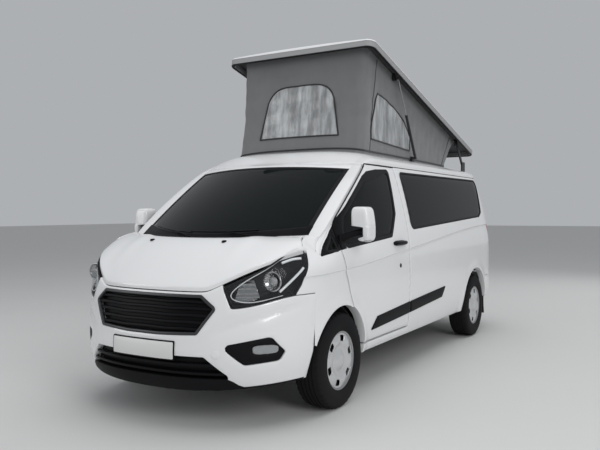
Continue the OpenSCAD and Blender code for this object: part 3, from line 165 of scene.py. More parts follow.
def rounded(points: Sequence[Sequence[float]], radius: float, n: int = 6) -> Array:
    """Closed outline whose corners are arcs of one radius.

    Args:
        points: corners in order.
        radius: arc radius, cut down on short edges.
        n: chords in each arc.

    Returns:
        Points of the outline.
    """
    b = np.asarray(points, float)
    a, c = np.roll(b, 1, 0), np.roll(b, -1, 0)
    la, lc = np.linalg.norm(a - b, axis=1), np.linalg.norm(c - b, axis=1)
    u, w = (a - b) / la[:, None], (c - b) / lc[:, None]
    half = np.arccos(np.clip((u * w).sum(1), -1, 1)) / 2
    half = np.minimum(half, math.radians(88.5))
    d = np.minimum(radius / np.tan(half), 0.45 * np.minimum(la, lc))
    q = d * np.tan(half)
    way = unit(u + w)
    m = b + way * (q / np.sin(half))[:, None]
    p0, p1 = b + u * d[:, None] - m, b + w * d[:, None] - m
    k = np.linspace(0, 1, n + 1)[None, :, None]
    spokes = unit(mix(p0[:, None], p1[:, None], k))
    return (m[:, None] + spokes * q[:, None, None]).reshape(-1, 2)


def arc(cx: float, cz: float, r: float, a0: float, a1: float, n: int = 28) -> Array:
    """Points of a circle's arc between two angles in degrees."""
    a = np.radians(np.linspace(a0, a1, n))
    return np.stack([cx + r * np.cos(a), cz + r * np.sin(a)], 1)


def resample(p: Array, step: Sequence[float] | float, scale: Array) -> Array:
    """Closed outline with points no further apart than step, corners kept."""
    q = np.roll(p, -1, 0)
    n = np.maximum(1, np.ceil(np.linalg.norm((q - p) * scale, axis=1) / step)).astype(int)
    i = np.repeat(np.arange(len(p)), n)
    k = np.arange(n.sum()) - np.repeat(np.cumsum(n) - n, n)
    return p[i] + (q - p)[i] * (k / n[i])[:, None]


def turned_left(p: Array) -> Array:
    """The same outline in counter-clockwise order."""
    x, y = p.T
    area = np.sum(x * np.roll(y, -1) - np.roll(x, -1) * y)
    return p if area > 0 else p[::-1]


def inset(p: Array, d: float, scale: Array) -> Array:
    """Counter-clockwise outline moved inwards by d; a negative d moves it outwards."""
    w = p * scale
    e = unit(np.roll(w, -1, 0) - w)
    n = np.stack([-e[:, 1], e[:, 0]], 1)
    both = n + np.roll(n, 1, 0)
    both /= np.maximum((both * n).sum(1), 0.35)[:, None]
    return (w + both * d) / scale


def inside(p: Array, pts: Array) -> Array:
    """Which points lie inside a closed outline, by the even-odd rule."""
    x0, y0 = p.T
    x1, y1 = np.roll(p, -1, 0).T
    y = pts[:, 1:2]
    crosses = (y0 > y) != (y1 > y)
    at = (x1 - x0) * (y - y0) / np.where(y1 == y0, TINY, y1 - y0) + x0
    return (crosses & (pts[:, 0:1] < at)).sum(1) % 2 == 1


# ---- meshes ----


def add_mesh(
    name: str, verts: Array, faces: Sequence[Array], material: bpy.types.Material, crease: float = 40
) -> bpy.types.Object:
    """A mesh object from arrays, in millimetres.

    Args:
        name: object and mesh name.
        verts: points, n by 3.
        faces: arrays of triangles or quads.
        material: finish of the whole mesh.
        crease: edges that turn more than this many degrees stay sharp.

    Returns:
        The new object, linked to the scene.
    """
    mesh = bpy.data.meshes.new(name)
    faces = [np.asarray(f, np.int32) for f in faces if len(f)]
    loops = np.concatenate([f.ravel() for f in faces])
    sizes = np.concatenate([np.full(len(f), f.shape[1], np.int32) for f in faces])
    starts = np.concatenate([[0], np.cumsum(sizes)[:-1]]).astype(np.int32)
    mesh.vertices.add(len(verts))
    mesh.vertices.foreach_set("co", (np.asarray(verts, float) * MM).astype(np.float32).ravel())
    mesh.loops.add(len(loops))
    mesh.loops.foreach_set("vertex_index", loops)
    mesh.polygons.add(len(sizes))
    mesh.polygons.foreach_set("loop_start", starts)
    mesh.polygons.foreach_set("loop_total", sizes)
    mesh.update(calc_edges=True)
    mesh.validate()
    mesh.polygons.foreach_set("use_smooth", np.ones(len(mesh.polygons), bool))
    mesh.set_sharp_from_angle(angle=math.radians(crease))
    mesh.materials.append(material)
    obj = bpy.data.objects.new(name, mesh)
    bpy.context.scene.collection.objects.link(obj)
    return obj


def quads(nu: int, nv: int, closed_u: bool = False, closed_v: bool = False, start: int = 0) -> Array:
    """Quads of a grid whose points run v fastest; the normal is du x dv."""
    iu = np.arange(nu if closed_u else nu - 1)
    iv = np.arange(nv if closed_v else nv - 1)
    u, v = (g.ravel() for g in np.meshgrid(iu, iv, indexing="ij"))
    u1, v1 = (u + 1) % nu, (v + 1) % nv
    return start + np.stack([u * nv + v, u1 * nv + v, u1 * nv + v1, u * nv + v1], 1)


def grid_faces(g: Array, closed_u: bool = False, closed_v: bool = False) -> tuple[Array, Array]:
    """Points and quads of one grid of points."""
    nu, nv = g.shape[:2]
    return g.reshape(-1, 3), quads(nu, nv, closed_u, closed_v)


def joined(parts: Sequence[Shape]) -> Shape:
    """Several (points, faces) as one."""
    verts, faces, n = [], [], 0
    for v, f in parts:
        verts.append(v)
        faces += [np.asarray(q) + n for q in f if len(q)]
        n += len(v)
    return np.concatenate(verts), faces


def tube(path: Array, radius: Any, n: int = 12, closed: bool = False) -> Shape:
    """Round profile carried along a path.

    Args:
        path: points, m by 3.
        radius: one value, or one for each point.
        n: sides of the profile.
        closed: whether the path is a loop; an open one gets end caps.

    Returns:
        Points and faces.
    """
    path = np.asarray(path, float)
    t = unit(np.roll(path, -1, 0) - np.roll(path, 1, 0) if closed else np.gradient(path, axis=0))
    ref = np.where(np.abs(t[:, 2:3]) > 0.9, [[1.0, 0, 0]], [[0, 0, 1.0]])
    a = unit(np.cross(ref, t))
    b = np.cross(t, a)
    k = turn(n)
    r = np.broadcast_to(np.asarray(radius, float), (len(path),))[:, None, None]
    ring = path[:, None] + r * (a[:, None] * np.cos(k)[None, :, None] + b[:, None] * np.sin(k)[None, :, None])
    if closed:
        return ring.reshape(-1, 3), [quads(len(path), n, True, True)[:, ::-1]]
    return capped(ring)


def revolved(profile: Array, centre: Sequence[float], n: int, side: float = 1) -> Shape:
    """Profile of (radius, height along Y) turned about a Y axis through a centre."""
    k = turn(n)
    r, h = np.asarray(profile, float).T
    g = np.stack(
        [
            centre[0] + r[None] * np.cos(k)[:, None],
            np.broadcast_to(centre[1] + side * h, (n, len(r))),
            centre[2] + r[None] * np.sin(k)[:, None],
        ],
        2,
    )
    v, f = grid_faces(g, closed_u=True)
    return v, [f if side < 0 else f[:, ::-1]]


def mirrored(verts: Array, faces: Sequence[Array], side: Side) -> Shape:
    """The same points and faces for the left, or turned over to the right."""
    if side is Side.LEFT:
        return verts, list(faces)
    return verts * np.array([1, -1, 1]), [f[:, ::-1] for f in faces]


def panel(
    at: Surface,
    outline: Array,
    holes: Sequence[Array] = (),
    thick: float = 60,
    edge: float = 5,
    step: float = 34,
    scale: Sequence[float] = (1, 1),
    outward: float = 1,
    folds: Sequence[Array] = (),
) -> Shape:
    """Closed sheet cut to an outline on a surface, with rolled edges.

    The outline and the holes are filled with triangles in the surface's two parameters. Near each edge the outer
    face drops by a quarter circle, r - sqrt(r^2 - (r - distance)^2), and a wall joins it to the inner face.

    Args:
        at: surface as a function of two parameters and a depth.
        outline: closed outline in the parameters.
        holes: closed outlines that are cut out.
        thick: depth of the inner face.
        edge: radius of the rolled edge.
        step: spacing of the points inside.
        scale: millimetres for each unit of the two parameters.
        outward: -1 where the parameters run the other way round, seen from outside.
        folds: lines in the parameters that the triangles follow.

    Returns:
        Points and faces.
    """
    s = np.asarray(scale, float)
    loops = [resample(turned_left(np.asarray(outline, float)), OUTLINE_STEP, s)]
    loops += [resample(turned_left(np.asarray(h, float)), OUTLINE_STEP, s)[::-1] for h in holes]
    drops, pts = [], []
    for share in (0, 0.3, 1):
        for p in loops:
            ring = p if share == 0 else inset(p, share * edge, s)
            pts.append(ring)
            drops.append(np.full(len(ring), edge * (1 - math.sqrt(1 - (1 - share) ** 2))))
    rim = np.concatenate(loops)
    lo, hi = rim.min(0), rim.max(0)
    n = np.maximum(2, ((hi - lo) * s / step).astype(int))
    gx, gy = np.meshgrid(np.linspace(lo[0], hi[0], n[0] + 1), np.linspace(lo[1], hi[1], n[1] + 1))
    gx = gx + (np.arange(n[1] + 1) % 2)[:, None] * 0.5 * (hi[0] - lo[0]) / n[0]
    free = np.stack([gx.ravel(), gy.ravel()], 1)

    def within(q: Array) -> Array:
        """Which points lie in the sheet."""
        return np.logical_and.reduce([inside(loops[0], q), *(~inside(h, q) for h in loops[1:])])

    def clear(q: Array, of: Array, gap: float) -> Array:
        """Which points lie in the sheet, farther than a gap from some others."""
        rows = np.array_split(q, max(1, len(q) // 400))
        near = np.concatenate([(((c[:, None] - of[None]) * s) ** 2).sum(2).min(1) for c in rows])
        return within(q) & (near > gap**2)

    free = free[clear(free, rim, edge + 0.35 * step)]
    links = []
    for line in folds:
        ok = clear(line, rim, edge + 5)
        at_row = sum(len(q) for q in pts) + np.cumsum(ok) - 1
        starts = at_row[np.flatnonzero(ok[:-1] & ok[1:])]
        links.append(np.stack([starts, starts + 1], 1))
        pts.append(line[ok])
        drops.append(np.zeros(ok.sum()))
        free = free[clear(free, line, 10)]
    pts.append(free)
    drops.append(np.zeros(len(free)))
    flat, drop = np.concatenate(pts), np.concatenate(drops)
    first = np.cumsum([0] + [len(p) for p in loops])
    bounds = [np.stack([np.arange(a, b), np.roll(np.arange(a, b), -1)], 1) for a, b in zip(first[:-1], first[1:])]
    ring_edges = np.concatenate(bounds)
    edges = [tuple(e) for e in np.concatenate([ring_edges, *links]).tolist()]
    out = geometry.delaunay_2d_cdt([Vector(q) for q in (flat * s).tolist()], edges, [], 0, 1e-5, True)
    got = np.array([(v[0], v[1]) for v in out[0]]) / s
    tri = np.array([f[:] for f in out[2] if len(f) == 3], np.int32)
    came = np.concatenate([np.asarray(o, int) for o in out[3]])
    went = np.repeat(np.arange(len(got)), [len(o) for o in out[3]])
    fwd = np.zeros(len(flat), int)
    fwd[came] = went
    drop_out = np.zeros(len(got))
    drop_out[went] = drop[came]
    drop, ring_edges = drop_out, fwd[ring_edges]
    tri = tri[within(got[tri].mean(1))]
    outer = at(got[:, 0], got[:, 1], drop)
    inner = at(got[:, 0], got[:, 1], np.full(len(got), float(thick)))
    m = len(got)
    walls = np.stack([ring_edges[:, 0], ring_edges[:, 0] + m, ring_edges[:, 1] + m, ring_edges[:, 1]], 1)
    if outward < 0:
        tri, walls = tri[:, ::-1], walls[:, ::-1]
    verts = np.concatenate([outer, inner])
    used = np.zeros(len(verts), bool)
    for f in (tri, tri + m, walls):
        used[f.ravel()] = True
    new = np.cumsum(used) - 1
    return verts[used], [new[tri], new[(tri + m)[:, ::-1]], new[walls]]


# ---- finishes ----


class Wire:
    """A node's output, with arithmetic that adds Math nodes."""

    def __init__(self, kit: "Shader", socket: Any) -> None:
        """Keeps the shader and the socket."""
        self.kit, self.socket = kit, socket

    def _op(self, op: str, *others: Any) -> "Wire":
        """One Math node on this value and others."""
        return self.kit.node("ShaderNodeMath", {"operation": op}, [self, *others])

    def __add__(self, o: Any) -> "Wire":
        """Sum."""
        return self._op("ADD", o)

    __radd__ = __add__

    def __mul__(self, o: Any) -> "Wire":
        """Product."""
        return self._op("MULTIPLY", o)

    __rmul__ = __mul__

    def __sub__(self, o: Any) -> "Wire":
        """Difference."""
        return self._op("SUBTRACT", o)

    def __rsub__(self, o: Any) -> "Wire":
        """A number less this value."""
        return self.kit.node("ShaderNodeMath", {"operation": "SUBTRACT"}, [o, self])

    def clamp(self) -> "Wire":
        """This value held between 0 and 1."""
        return self.kit.node("ShaderNodeClamp", {}, [self])

    def sine(self) -> "Wire":
        """Sine of this value."""
        return self._op("SINE")


class Shader:
    """Node tree of one material."""

    def __init__(self, name: str) -> None:
        """A new material with its Principled shader.

        Args:
            name: material name.
        """
        self.material = bpy.data.materials.new(name)
        self.material.use_nodes = True
        self.tree = self.material.node_tree
        self.bsdf = next(n for n in self.tree.nodes if n.type == "BSDF_PRINCIPLED")

    def node(self, kind: str, settings: dict[str, Any], inputs: Any = (), out: Any = 0) -> Wire:
        """Adds any node.

        Args:
            kind: Blender's node type.
            settings: attributes set first; "stops" fills a colour ramp.
            inputs: values or wires, by position in a list or by socket name in a dict.
            out: output index or name.

        Returns:
            The chosen output.
        """
        n = self.tree.nodes.new(kind)
        for key, value in settings.items():
            if key == "stops":
                ramp = n.color_ramp
                while len(ramp.elements) < len(value):
                    ramp.elements.new(0.5)
                for e, (pos, colour) in zip(ramp.elements, value):
                    e.position, e.color = pos, (*colour, 1)
            else:
                setattr(n, key, value)
        for key, value in inputs.items() if isinstance(inputs, dict) else enumerate(inputs):
            self.feed(n.inputs[key], value)
        return Wire(self, n.outputs[out])

    def feed(self, socket: Any, value: Any) -> None:
        """Links a wire, or writes a value, into a socket."""
        if isinstance(value, Wire):
            self.tree.links.new(value.socket, socket)
        else:
            socket.default_value = value

    def set(self, **values: Any) -> None:
        """Writes Principled sockets; underscores in names stand for spaces."""
        for key, value in values.items():
            self.feed(self.bsdf.inputs[key.replace("_", " ")], value)

    def place(self) -> Wire:
        """Object coordinates."""
        return self.node("ShaderNodeTexCoord", {}, out="Object")

    def noise(self, scale: float, detail: float = 3, rough: float = 0.5, stretch: Sequence[float] = (1, 1, 1)) -> Wire:
        """Noise on Object coordinates, from 0 to 1."""
        spot = self.node("ShaderNodeMapping", {}, {"Vector": self.place(), "Scale": tuple(stretch)})
        values = {"Vector": spot, "Scale": scale, "Detail": detail, "Roughness": rough}
        return self.node("ShaderNodeTexNoise", {}, values)

    def blend(self, factor: Any, a: Any, b: Any) -> Wire:
        """Colour between two, given as wires or RGB, by a factor."""
        a, b = (c if isinstance(c, Wire) else (*c, 1) for c in (a, b))
        return self.node("ShaderNodeMix", {"data_type": "RGBA"}, {0: factor, 6: a, 7: b}, out=2)

    def bump(self, height: Wire, strength: float, distance: float) -> None:
        """Bump on the shader's normal."""
        self.set(Normal=self.node("ShaderNodeBump", {}, {"Strength": strength, "Distance": distance, "Height": height}))


@dataclass(frozen=True)
class Finish:
    """A painted, moulded or metal surface: colour that varies a little, with grain.

    grain_mm is the size of the grain, depth_mm its bump, dust how far the low surfaces are greyed.
    """

    name: str
    colour: tuple[float, float, float]
    rough: float
    metal: float = 0.0
    coat: float = 0.0
    vary: float = 0.06
    grain_mm: float = 3.0
    depth_mm: float = 0.0
    dust: float = 0.0
    shine: float = 0.5

    def make(self) -> bpy.types.Material:
        """Builds the material."""
        s = Shader(self.name)
        cloud = s.noise(2.3, 4)
        fine = s.noise(1000 / self.grain_mm, 2)
        dark = tuple(c * (1 - self.vary) for c in self.colour)
        base = s.blend(cloud, dark, self.colour)
        if self.dust:
            low = s.node("ShaderNodeSeparateXYZ", {}, [s.place()], out=2)
            near = (1 - low * 1.6).clamp() * cloud * self.dust
            base = s.blend(near, base, (0.30, 0.27, 0.23))
        s.set(Base_Color=base, Metallic=self.metal, Coat_Weight=self.coat)
        s.set(Roughness=(cloud * 0.10 + fine * 0.06 + (self.rough - 0.08)).clamp())
        s.set(Coat_Roughness=0.04, Specular_IOR_Level=self.shine)
        if self.depth_mm:
            s.bump(fine, 0.6, self.depth_mm * MM)
        return s.material


@dataclass(frozen=True)
class Pane:
    """Tinted glass or a clear lens, with a faint smear in its gloss."""

    name: str
    colour: tuple[float, float, float]
    alpha: float
    rough: float = 0.03
    gloss: float = 0.10

    def make(self) -> bpy.types.Material:
        """Builds the material."""
        s = Shader(self.name)
        smear = s.noise(5, 3)
        s.set(Base_Color=s.blend(smear, self.colour, tuple(c * 1.15 for c in self.colour)), Alpha=self.alpha)
        s.set(Roughness=(smear * 0.03 + self.rough).clamp(), Specular_IOR_Level=self.gloss)
        return s.material


@dataclass(frozen=True)
class Cloth:
    """Woven fabric: crossed threads, uneven tone and fine creases, with painted shade where the creases and the gaps
    between threads sink.

    thread_mm is the spacing of the threads.
    """

    name: str
    colour: tuple[float, float, float]
    thread_mm: float
    crease: float = 0.5

    def make(self) -> bpy.types.Material:
        """Builds the material."""
        s = Shader(self.name)
        axes = [s.node("ShaderNodeSeparateXYZ", {}, [s.place()], out=i) for i in range(3)]
        k = 2 * math.pi * 1000 / self.thread_mm
        warp = ((axes[0] + axes[1]) * k).sine()
        weft = (axes[2] * k).sine()
        weave = warp * weft * 0.5 + 0.5
        cloud = s.noise(3.1, 5)
        folds = s.noise(9, 4, 0.6, (1.0, 1.0, 0.35))
        # The colour follows the fold noise and the weave, which also shape the bump, so creases and the gaps between
        # threads come out darker: painted shade. The cloud part is the cloth's uneven tone.
        tone = (cloud * 0.6 + folds * 0.4).clamp()
        lo = tuple(c * 0.72 for c in self.colour)
        hi = tuple(min(1, c * 1.12) for c in self.colour)
        s.set(Base_Color=s.blend(tone * 0.8 + weave * 0.2, lo, hi), Roughness=weave * 0.08 + 0.78)
        s.set(Sheen_Weight=0.25, Sheen_Roughness=0.5)
        s.bump(weave * 0.25 + folds * self.crease, 0.55, 0.004)
        return s.material


@dataclass(frozen=True)
class Vinyl:
    """Clear window foil in the tent: crinkled, half seen through, with painted glints on its crinkles."""

    name: str
    colour: tuple[float, float, float] = (0.30, 0.31, 0.32)

    def make(self) -> bpy.types.Material:
        """Builds the material."""
        s = Shader(self.name)
        ripple = s.noise(16, 5, 0.62, (1.0, 1.0, 0.13))
        # Colour and opacity follow the ripple that also makes the bump: pale and more opaque on its crests, dark in its
        # troughs. This is a painted glint on each crest and painted shade in the troughs.
        glint = s.node("ShaderNodeValToRGB", {"stops": [(0.42, (0, 0, 0)), (0.60, (1, 1, 1))]}, [ripple])
        s.set(Base_Color=s.blend(ripple, (0.05, 0.052, 0.055), (0.72, 0.74, 0.75)))
        s.set(Alpha=glint * 0.25 + 0.70, Roughness=0.12, Coat_Weight=0.5)
        s.bump(ripple, 0.9, 0.012)
        return s.material


class Finishes:
    """Every finish of the van, made once."""

    def __init__(self) -> None:
        """Builds the materials."""
        f = {
            "paint": Finish("gloss_white_paint", (0.80, 0.805, 0.81), 0.24, coat=0.8, vary=0.02, grain_mm=1.6,
                            depth_mm=0.01, dust=0.10),
            "black": Finish("grained_black_plastic", (0.007, 0.007, 0.008), 0.50, grain_mm=1.4, depth_mm=0.12,
                            shine=0.10),
            "satin": Finish("satin_black_plastic", (0.006, 0.006, 0.007), 0.36, grain_mm=2.0, depth_mm=0.03,
                            shine=0.10),
            "surround": Finish("dark_grey_surround", (0.055, 0.056, 0.058), 0.30, metal=0.5, grain_mm=1.0),
            "rubber": Finish("seal_rubber", (0.012, 0.012, 0.013), 0.62, grain_mm=1.2, depth_mm=0.05, shine=0.25),
            "tyre": Finish("tyre_rubber", (0.010, 0.010, 0.011), 0.68, grain_mm=1.8, depth_mm=0.20, dust=0.04,
                           shine=0.10),
            "silver": Finish("silver_wheel_paint", (0.64, 0.65, 0.66), 0.28, metal=0.55, coat=0.3,
                             grain_mm=0.9, dust=0.18),
            "chrome": Finish("chrome_reflector", (0.48, 0.49, 0.50), 0.20, metal=1.0, vary=0.30, grain_mm=9,
                             depth_mm=0.5),
            "steel": Finish("bare_steel", (0.42, 0.42, 0.43), 0.36, metal=1.0, grain_mm=0.8, depth_mm=0.03),
            "chassis": Finish("underbody_coat", (0.030, 0.030, 0.032), 0.72, grain_mm=4.0, depth_mm=0.4, dust=0.35),
            "engine": Finish("cast_engine", (0.16, 0.16, 0.165), 0.58, metal=0.6, grain_mm=2.5, depth_mm=0.25),
            "arm": Finish("black_steel_arms", (0.018, 0.018, 0.020), 0.42, metal=0.2, grain_mm=1.2, depth_mm=0.05),
            # Grey for the shell's lower edge and underside: painted shade under the white shell.
            "rim": Finish("grey_shell_underside", (0.30, 0.305, 0.31), 0.55, grain_mm=3.0, depth_mm=0.15),
            "trim": Finish("cab_trim", (0.040, 0.040, 0.043), 0.62, grain_mm=2.2, depth_mm=0.2),
            "plate": Finish("blank_plate", (0.74, 0.74, 0.73), 0.32, grain_mm=0.8, depth_mm=0.02),
            "guide": Finish("light_guide", (0.86, 0.88, 0.90), 0.18, coat=0.5, vary=0.02),
            "red": Finish("red_lens", (0.36, 0.018, 0.020), 0.12, coat=0.7, vary=0.25, grain_mm=6, depth_mm=0.25),
            "frost": Finish("frosted_lens", (0.40, 0.41, 0.42), 0.20, coat=0.6, grain_mm=5, depth_mm=0.3),
            "glass": Pane("tinted_glass", (0.008, 0.010, 0.010), 0.89),
            "dark_glass": Pane("dark_rear_glass", (0.004, 0.005, 0.005), 0.98),
            "lens": Pane("clear_lens", (0.10, 0.105, 0.11), 0.10, gloss=0.5),
            "mirror": Finish("mirror_glass", (0.75, 0.77, 0.78), 0.05, metal=1.0, vary=0.01),
            "canvas": Cloth("grey_tent_canvas", (0.185, 0.188, 0.192), 3.0),
            "piping": Cloth("black_piping", (0.020, 0.020, 0.021), 2.0, 0.2),
            "seat": Cloth("seat_cloth", (0.075, 0.076, 0.080), 2.4, 0.3),
            "vinyl": Vinyl("tent_window_foil"),
        }
        self._made = {k: v.make() for k, v in f.items()}

    def __getitem__(self, key: str) -> bpy.types.Material:
        """The material of one finish."""
        return self._made[key]


# ---- the body's form ----


@dataclass
class Form:
    """Driving sizes and surfaces of the part's source, with the relief and rounding that only the looks have."""

    body_l: float = 5340
    body_w: float = 1986
    roof_h: float = 1945
    wheelbase: float = 3300
    front_overhang: float = 1003
    sill_z: float = 325
    rail_z: float = 1800
    wheel_r: float = 343
    tyre_w: float = 215
    wheel_y: float = 868
    front_arch_r: float = 395
    rear_arch_r: float = 425
    flare_h: float = 13
    flare_w: float = 110
    wall_t: float = 60
    door_t: float = 70
    bonnet_t: float = 26
    frame_t: float = 28
    bumper_t: float = 45
    glass_in: float = 4
    glass_t: float = 6
    door_gap: float = 7
    seam: float = 4
    shell_l: float = 3060
    shell_half: float = 763
    shell_rim: float = 78
    shell_t: float = 30
    shell_tilt: float = 14.1
    shell_front: tuple[float, float] = (652, 2905)
    section_shares: tuple = ((0.11, 0.900), (0.154, 0.930), (0.206, 0.957), (0.257, 0.971), (0.36, 0.981),
                             (0.463, 0.986), (0.514, 0.986), (0.566, 0.979), (0.617, 0.966), (0.668, 0.948),
                             (0.771, 0.903), (0.874, 0.848), (0.925, 0.812), (0.951, 0.790))
    nose_shares: tuple = ((0.10, 0.110), (0.125, 0.070), (0.16, 0.035), (0.206, 0.010), (0.257, 0.000),
                          (0.319, 0.010), (0.386, 0.028), (0.463, 0.062), (0.514, 0.110), (0.591, 0.200),
                          (0.65, 0.290))
    tail_shares: tuple = ((0.10, 0.085), (0.257, 0.068), (0.386, 0.068), (0.514, 0.073), (0.617, 0.090),
                          (0.771, 0.140), (0.925, 0.205), (0.99, 0.245))
    roof_shares: tuple = ((-1.24, 0.972), (-1.17, 0.985), (-1.05, 0.994), (-0.7, 1.0), (-0.31, 0.9985),
                          (-0.25, 0.993), (-0.19, 0.969), (-0.14, 0.926))
    crease_line: tuple = ((-2500, 1262), (-1710, 1237), (350, 1085), (1530, 996), (2040, 980), (2300, 975))
    nose_power: float = 2.4
    tail_power: float = 4.0
    roof_power: float = 3.0
    crease_d: float = 11
    crease_sharp: float = 6
    crease_fade: float = 150
    pinch_share: float = 0.09
    roll_l: float = 330
    roll_power: float = 2.2
    shell_crown: float = 16
    half_w: float = field(init=False)
    front_x: float = field(init=False)
    axle_f: float = field(init=False)
    axle_r: float = field(init=False)
    rear_overhang: float = field(init=False)

    def __post_init__(self) -> None:
        """Works out the places that follow from the sizes."""
        self.half_w = self.body_w / 2
        self.front_x = self.body_l / 2
        self.axle_f = self.front_x - self.front_overhang
        self.axle_r = self.axle_f - self.wheelbase
        self.rear_overhang = self.axle_r + self.front_x
        self.nose_start = self.axle_f + 0.183 * self.front_overhang
        self.tail_start = self.axle_r - 0.26 * self.rear_overhang
        self.ws_base = np.array([self.axle_f + 0.412 * self.front_overhang, 0.630 * self.roof_h])
        self.ws_top = np.array([self.axle_f - 0.142 * self.wheelbase, 0.925 * self.roof_h])
        self.door_rear = self.axle_f - 0.4005 * self.wheelbase
        self.door_low = self.sill_z + 0.037 * self.roof_h
        self.gate_half = 0.80 * self.half_w
        self.gate_low = 0.335 * self.roof_h
        self.gate_high = 0.930 * self.roof_h
        self.tilt_dir = np.array([math.cos(math.radians(self.shell_tilt)), math.sin(math.radians(self.shell_tilt))])
        self.tilt_up = np.array([-self.tilt_dir[1], self.tilt_dir[0]])

    def spot(self, sx: float, sz: float) -> list[float]:
        """A place on the side: share of the wheelbase ahead of the front axle, share of the roof's height."""
        return [self.axle_f + sx * self.wheelbase, sz * self.roof_h]

    def behind(self, sx: float, sz: float) -> list[float]:
        """A place behind the rear axle: share of the rear overhang, share of the roof's height."""
        return [self.axle_r - sx * self.rear_overhang, sz * self.roof_h]

    def section(self, z: Any) -> Array:
        """Half width of the body by height."""
        return self.half_w * through(np.asarray(z) / self.roof_h, self.section_shares)

    def nose_tip(self, z: Any) -> Array:
        """Foremost place of the nose by height."""
        return self.front_x - self.front_overhang * through(np.asarray(z) / self.roof_h, self.nose_shares)

    def tail_tip(self, z: Any) -> Array:
        """Rearmost place of the tail by height."""
        return -self.front_x + self.rear_overhang * through(np.asarray(z) / self.roof_h, self.tail_shares)

    def roof_mid(self, x: Any) -> Array:
        """Height of the roof's middle line."""
        return self.roof_h * through((np.asarray(x) - self.axle_f) / self.wheelbase, self.roof_shares)

    def crease(self, x: Any, z: Any) -> Array:
        """Depth of the step under the rising side line: sharp at the line, fading with the distance t below it."""
        t = np.maximum(0, through(x, self.crease_line) - z)
        return self.crease_d * (1 - np.exp(-t / self.crease_sharp)) * np.exp(-t / self.crease_fade)

    def creases(self) -> list[Array]:
        """Lines that a side panel's triangles follow, on the crease and below it, in (x, z)."""
        x = np.arange(self.axle_r - self.rear_overhang, self.axle_f + self.front_overhang, 22.0)
        return [pairs(x, through(x, self.crease_line) - t) for t in (0, 5, 12, 30)]

    def pinch(self, x: Any, z: Any) -> Array:
        """Share by which the body draws in towards the bonnet, high on the front corners."""
        high = ease((z - 0.52 * self.roof_h) / (0.118 * self.roof_h))
        return self.pinch_share * high * ease((x - self.axle_f - 53) / 230)

    def side_y(self, x: Any, z: Any) -> Array:
        """Outer half width at a place on the side."""
        x, z = np.broadcast_arrays(np.asarray(x, float), np.asarray(z, float))
        narrow = (0.053 * self.half_w
                  * (np.maximum(0, np.minimum(x, self.nose_start) - (self.axle_f - 0.29 * self.wheelbase))
                     / (0.27 * self.wheelbase)) ** 2
                  * ease((z / self.roof_h - 0.555) / 0.11)
                  * (1 - ease((x - self.nose_start) / (0.23 * self.front_overhang))))
        nose = np.where(x <= self.nose_start, 1,
                        bend((x - self.nose_start) / (self.nose_tip(z) - self.nose_start), self.nose_power))
        tail = np.where(x >= self.tail_start, 1,
                        bend((self.tail_start - x) / (self.tail_start - self.tail_tip(z)), self.tail_power))
        lips = sum(self.flare_h * ease((r + self.flare_w - np.hypot(x - ax, z - self.wheel_r)) / self.flare_w)
                   for ax, r in ((self.axle_f, self.front_arch_r), (self.axle_r, self.rear_arch_r)))
        return (self.section(z) - narrow) * nose * tail * (1 - self.pinch(x, z)) + lips

    def side(self, x: Array, z: Array, d: Array) -> Array:
        """Left side surface, d inside the outer face."""
        return pairs(x, self.side_y(x, z) - self.crease(x, z) * (d < FACE_D) - d, z)

    def nose(self, a: Array, z: Array, d: Array) -> Array:
        """Nose surface by plan angle in degrees and height."""
        r = np.radians(a)
        c = np.maximum(0, np.cos(r)) ** (2 / self.nose_power)
        s = np.abs(np.sin(r)) ** (2 / self.nose_power)
        x = self.nose_start + (self.nose_tip(z) - d - self.nose_start) * c
        return pairs(x, np.sign(a) * (self.section(z) - d) * s * (1 - self.pinch(x, z)), z)

    def nose_angle(self, y: Array, z: Array) -> Array:
        """Plan angle of a place on the nose, from its Y."""
        share = np.clip(np.abs(y) / self.section(z), 0, 1) ** (self.nose_power / 2)
        return np.sign(y) * np.degrees(np.arcsin(share))

    def tail(self, y: Array, z: Array, d: Array) -> Array:
        """Tail surface by Y and height."""
        c = bend(np.abs(y) / self.section(z), self.tail_power)
        return pairs(self.tail_start + (self.tail_tip(z) + d - self.tail_start) * c, y, z)

    def tail_end(self, z: Array, y: float) -> Array:
        """Place of the tail surface at one Y, by height."""
        return self.tail_start + (self.tail_tip(z) - self.tail_start) * bend(y / self.section(z), self.tail_power)

    def ws(self, u: Array, v: Array) -> Array:
        """Windscreen: u across with 1 at the glass edge, v up the slope; it bows back with u squared."""
        mid = self.ws_base[0] + (self.ws_top[0] - self.ws_base[0]) * v
        high = self.ws_base[1] + (self.ws_top[1] - self.ws_base[1]) * v + 0.04 * self.roof_h * v * (1 - v)
        bow = mix(0.2495, 0.204, v) * self.front_overhang
        return pairs(mid - bow * u * u, u * mix(0.784, 0.740, v) * self.half_w, high)

    def pillar(self, v: Any, d: float) -> Array:
        """Outer edge of the pillar in the side view, d inside."""
        g = self.ws(np.ones_like(np.asarray(v, float)), np.asarray(v, float))
        return pairs(g[..., 0] - 0.547 * d, g[..., 2] - 0.006 * self.roof_h - 0.837 * d)

    def surround(self, u: Array, v: Array, d: Array) -> Array:
        """Windscreen surround: the glass surface carried out to the pillars' edges."""
        w = np.clip(u, -1, 1)
        g = self.ws(w, v)
        e2 = self.pillar(v, 0)
        e = pairs(e2[..., 0], np.sign(u) * self.side_y(e2[..., 0], e2[..., 1]), e2[..., 1])
        p = mix(g, e, np.maximum(0, np.abs(u) - 1)[..., None])
        round_off = 10 * np.maximum(0, np.abs(u) - 1) * (2 - np.abs(u))
        return p + (round_off - d)[..., None] * np.array([0.547, 0, 0.837])

    def bonnet_lip(self, y: Any) -> Array:
        """Height of the bonnet's front edge: level over the grille, then rising in a straight line over the lamp."""
        t = (np.abs(y) / self.half_w - 0.46) / 0.46
        return self.roof_h * (0.474 + 0.1275 * 0.5 * (t + np.sqrt(t * t + 0.004)))

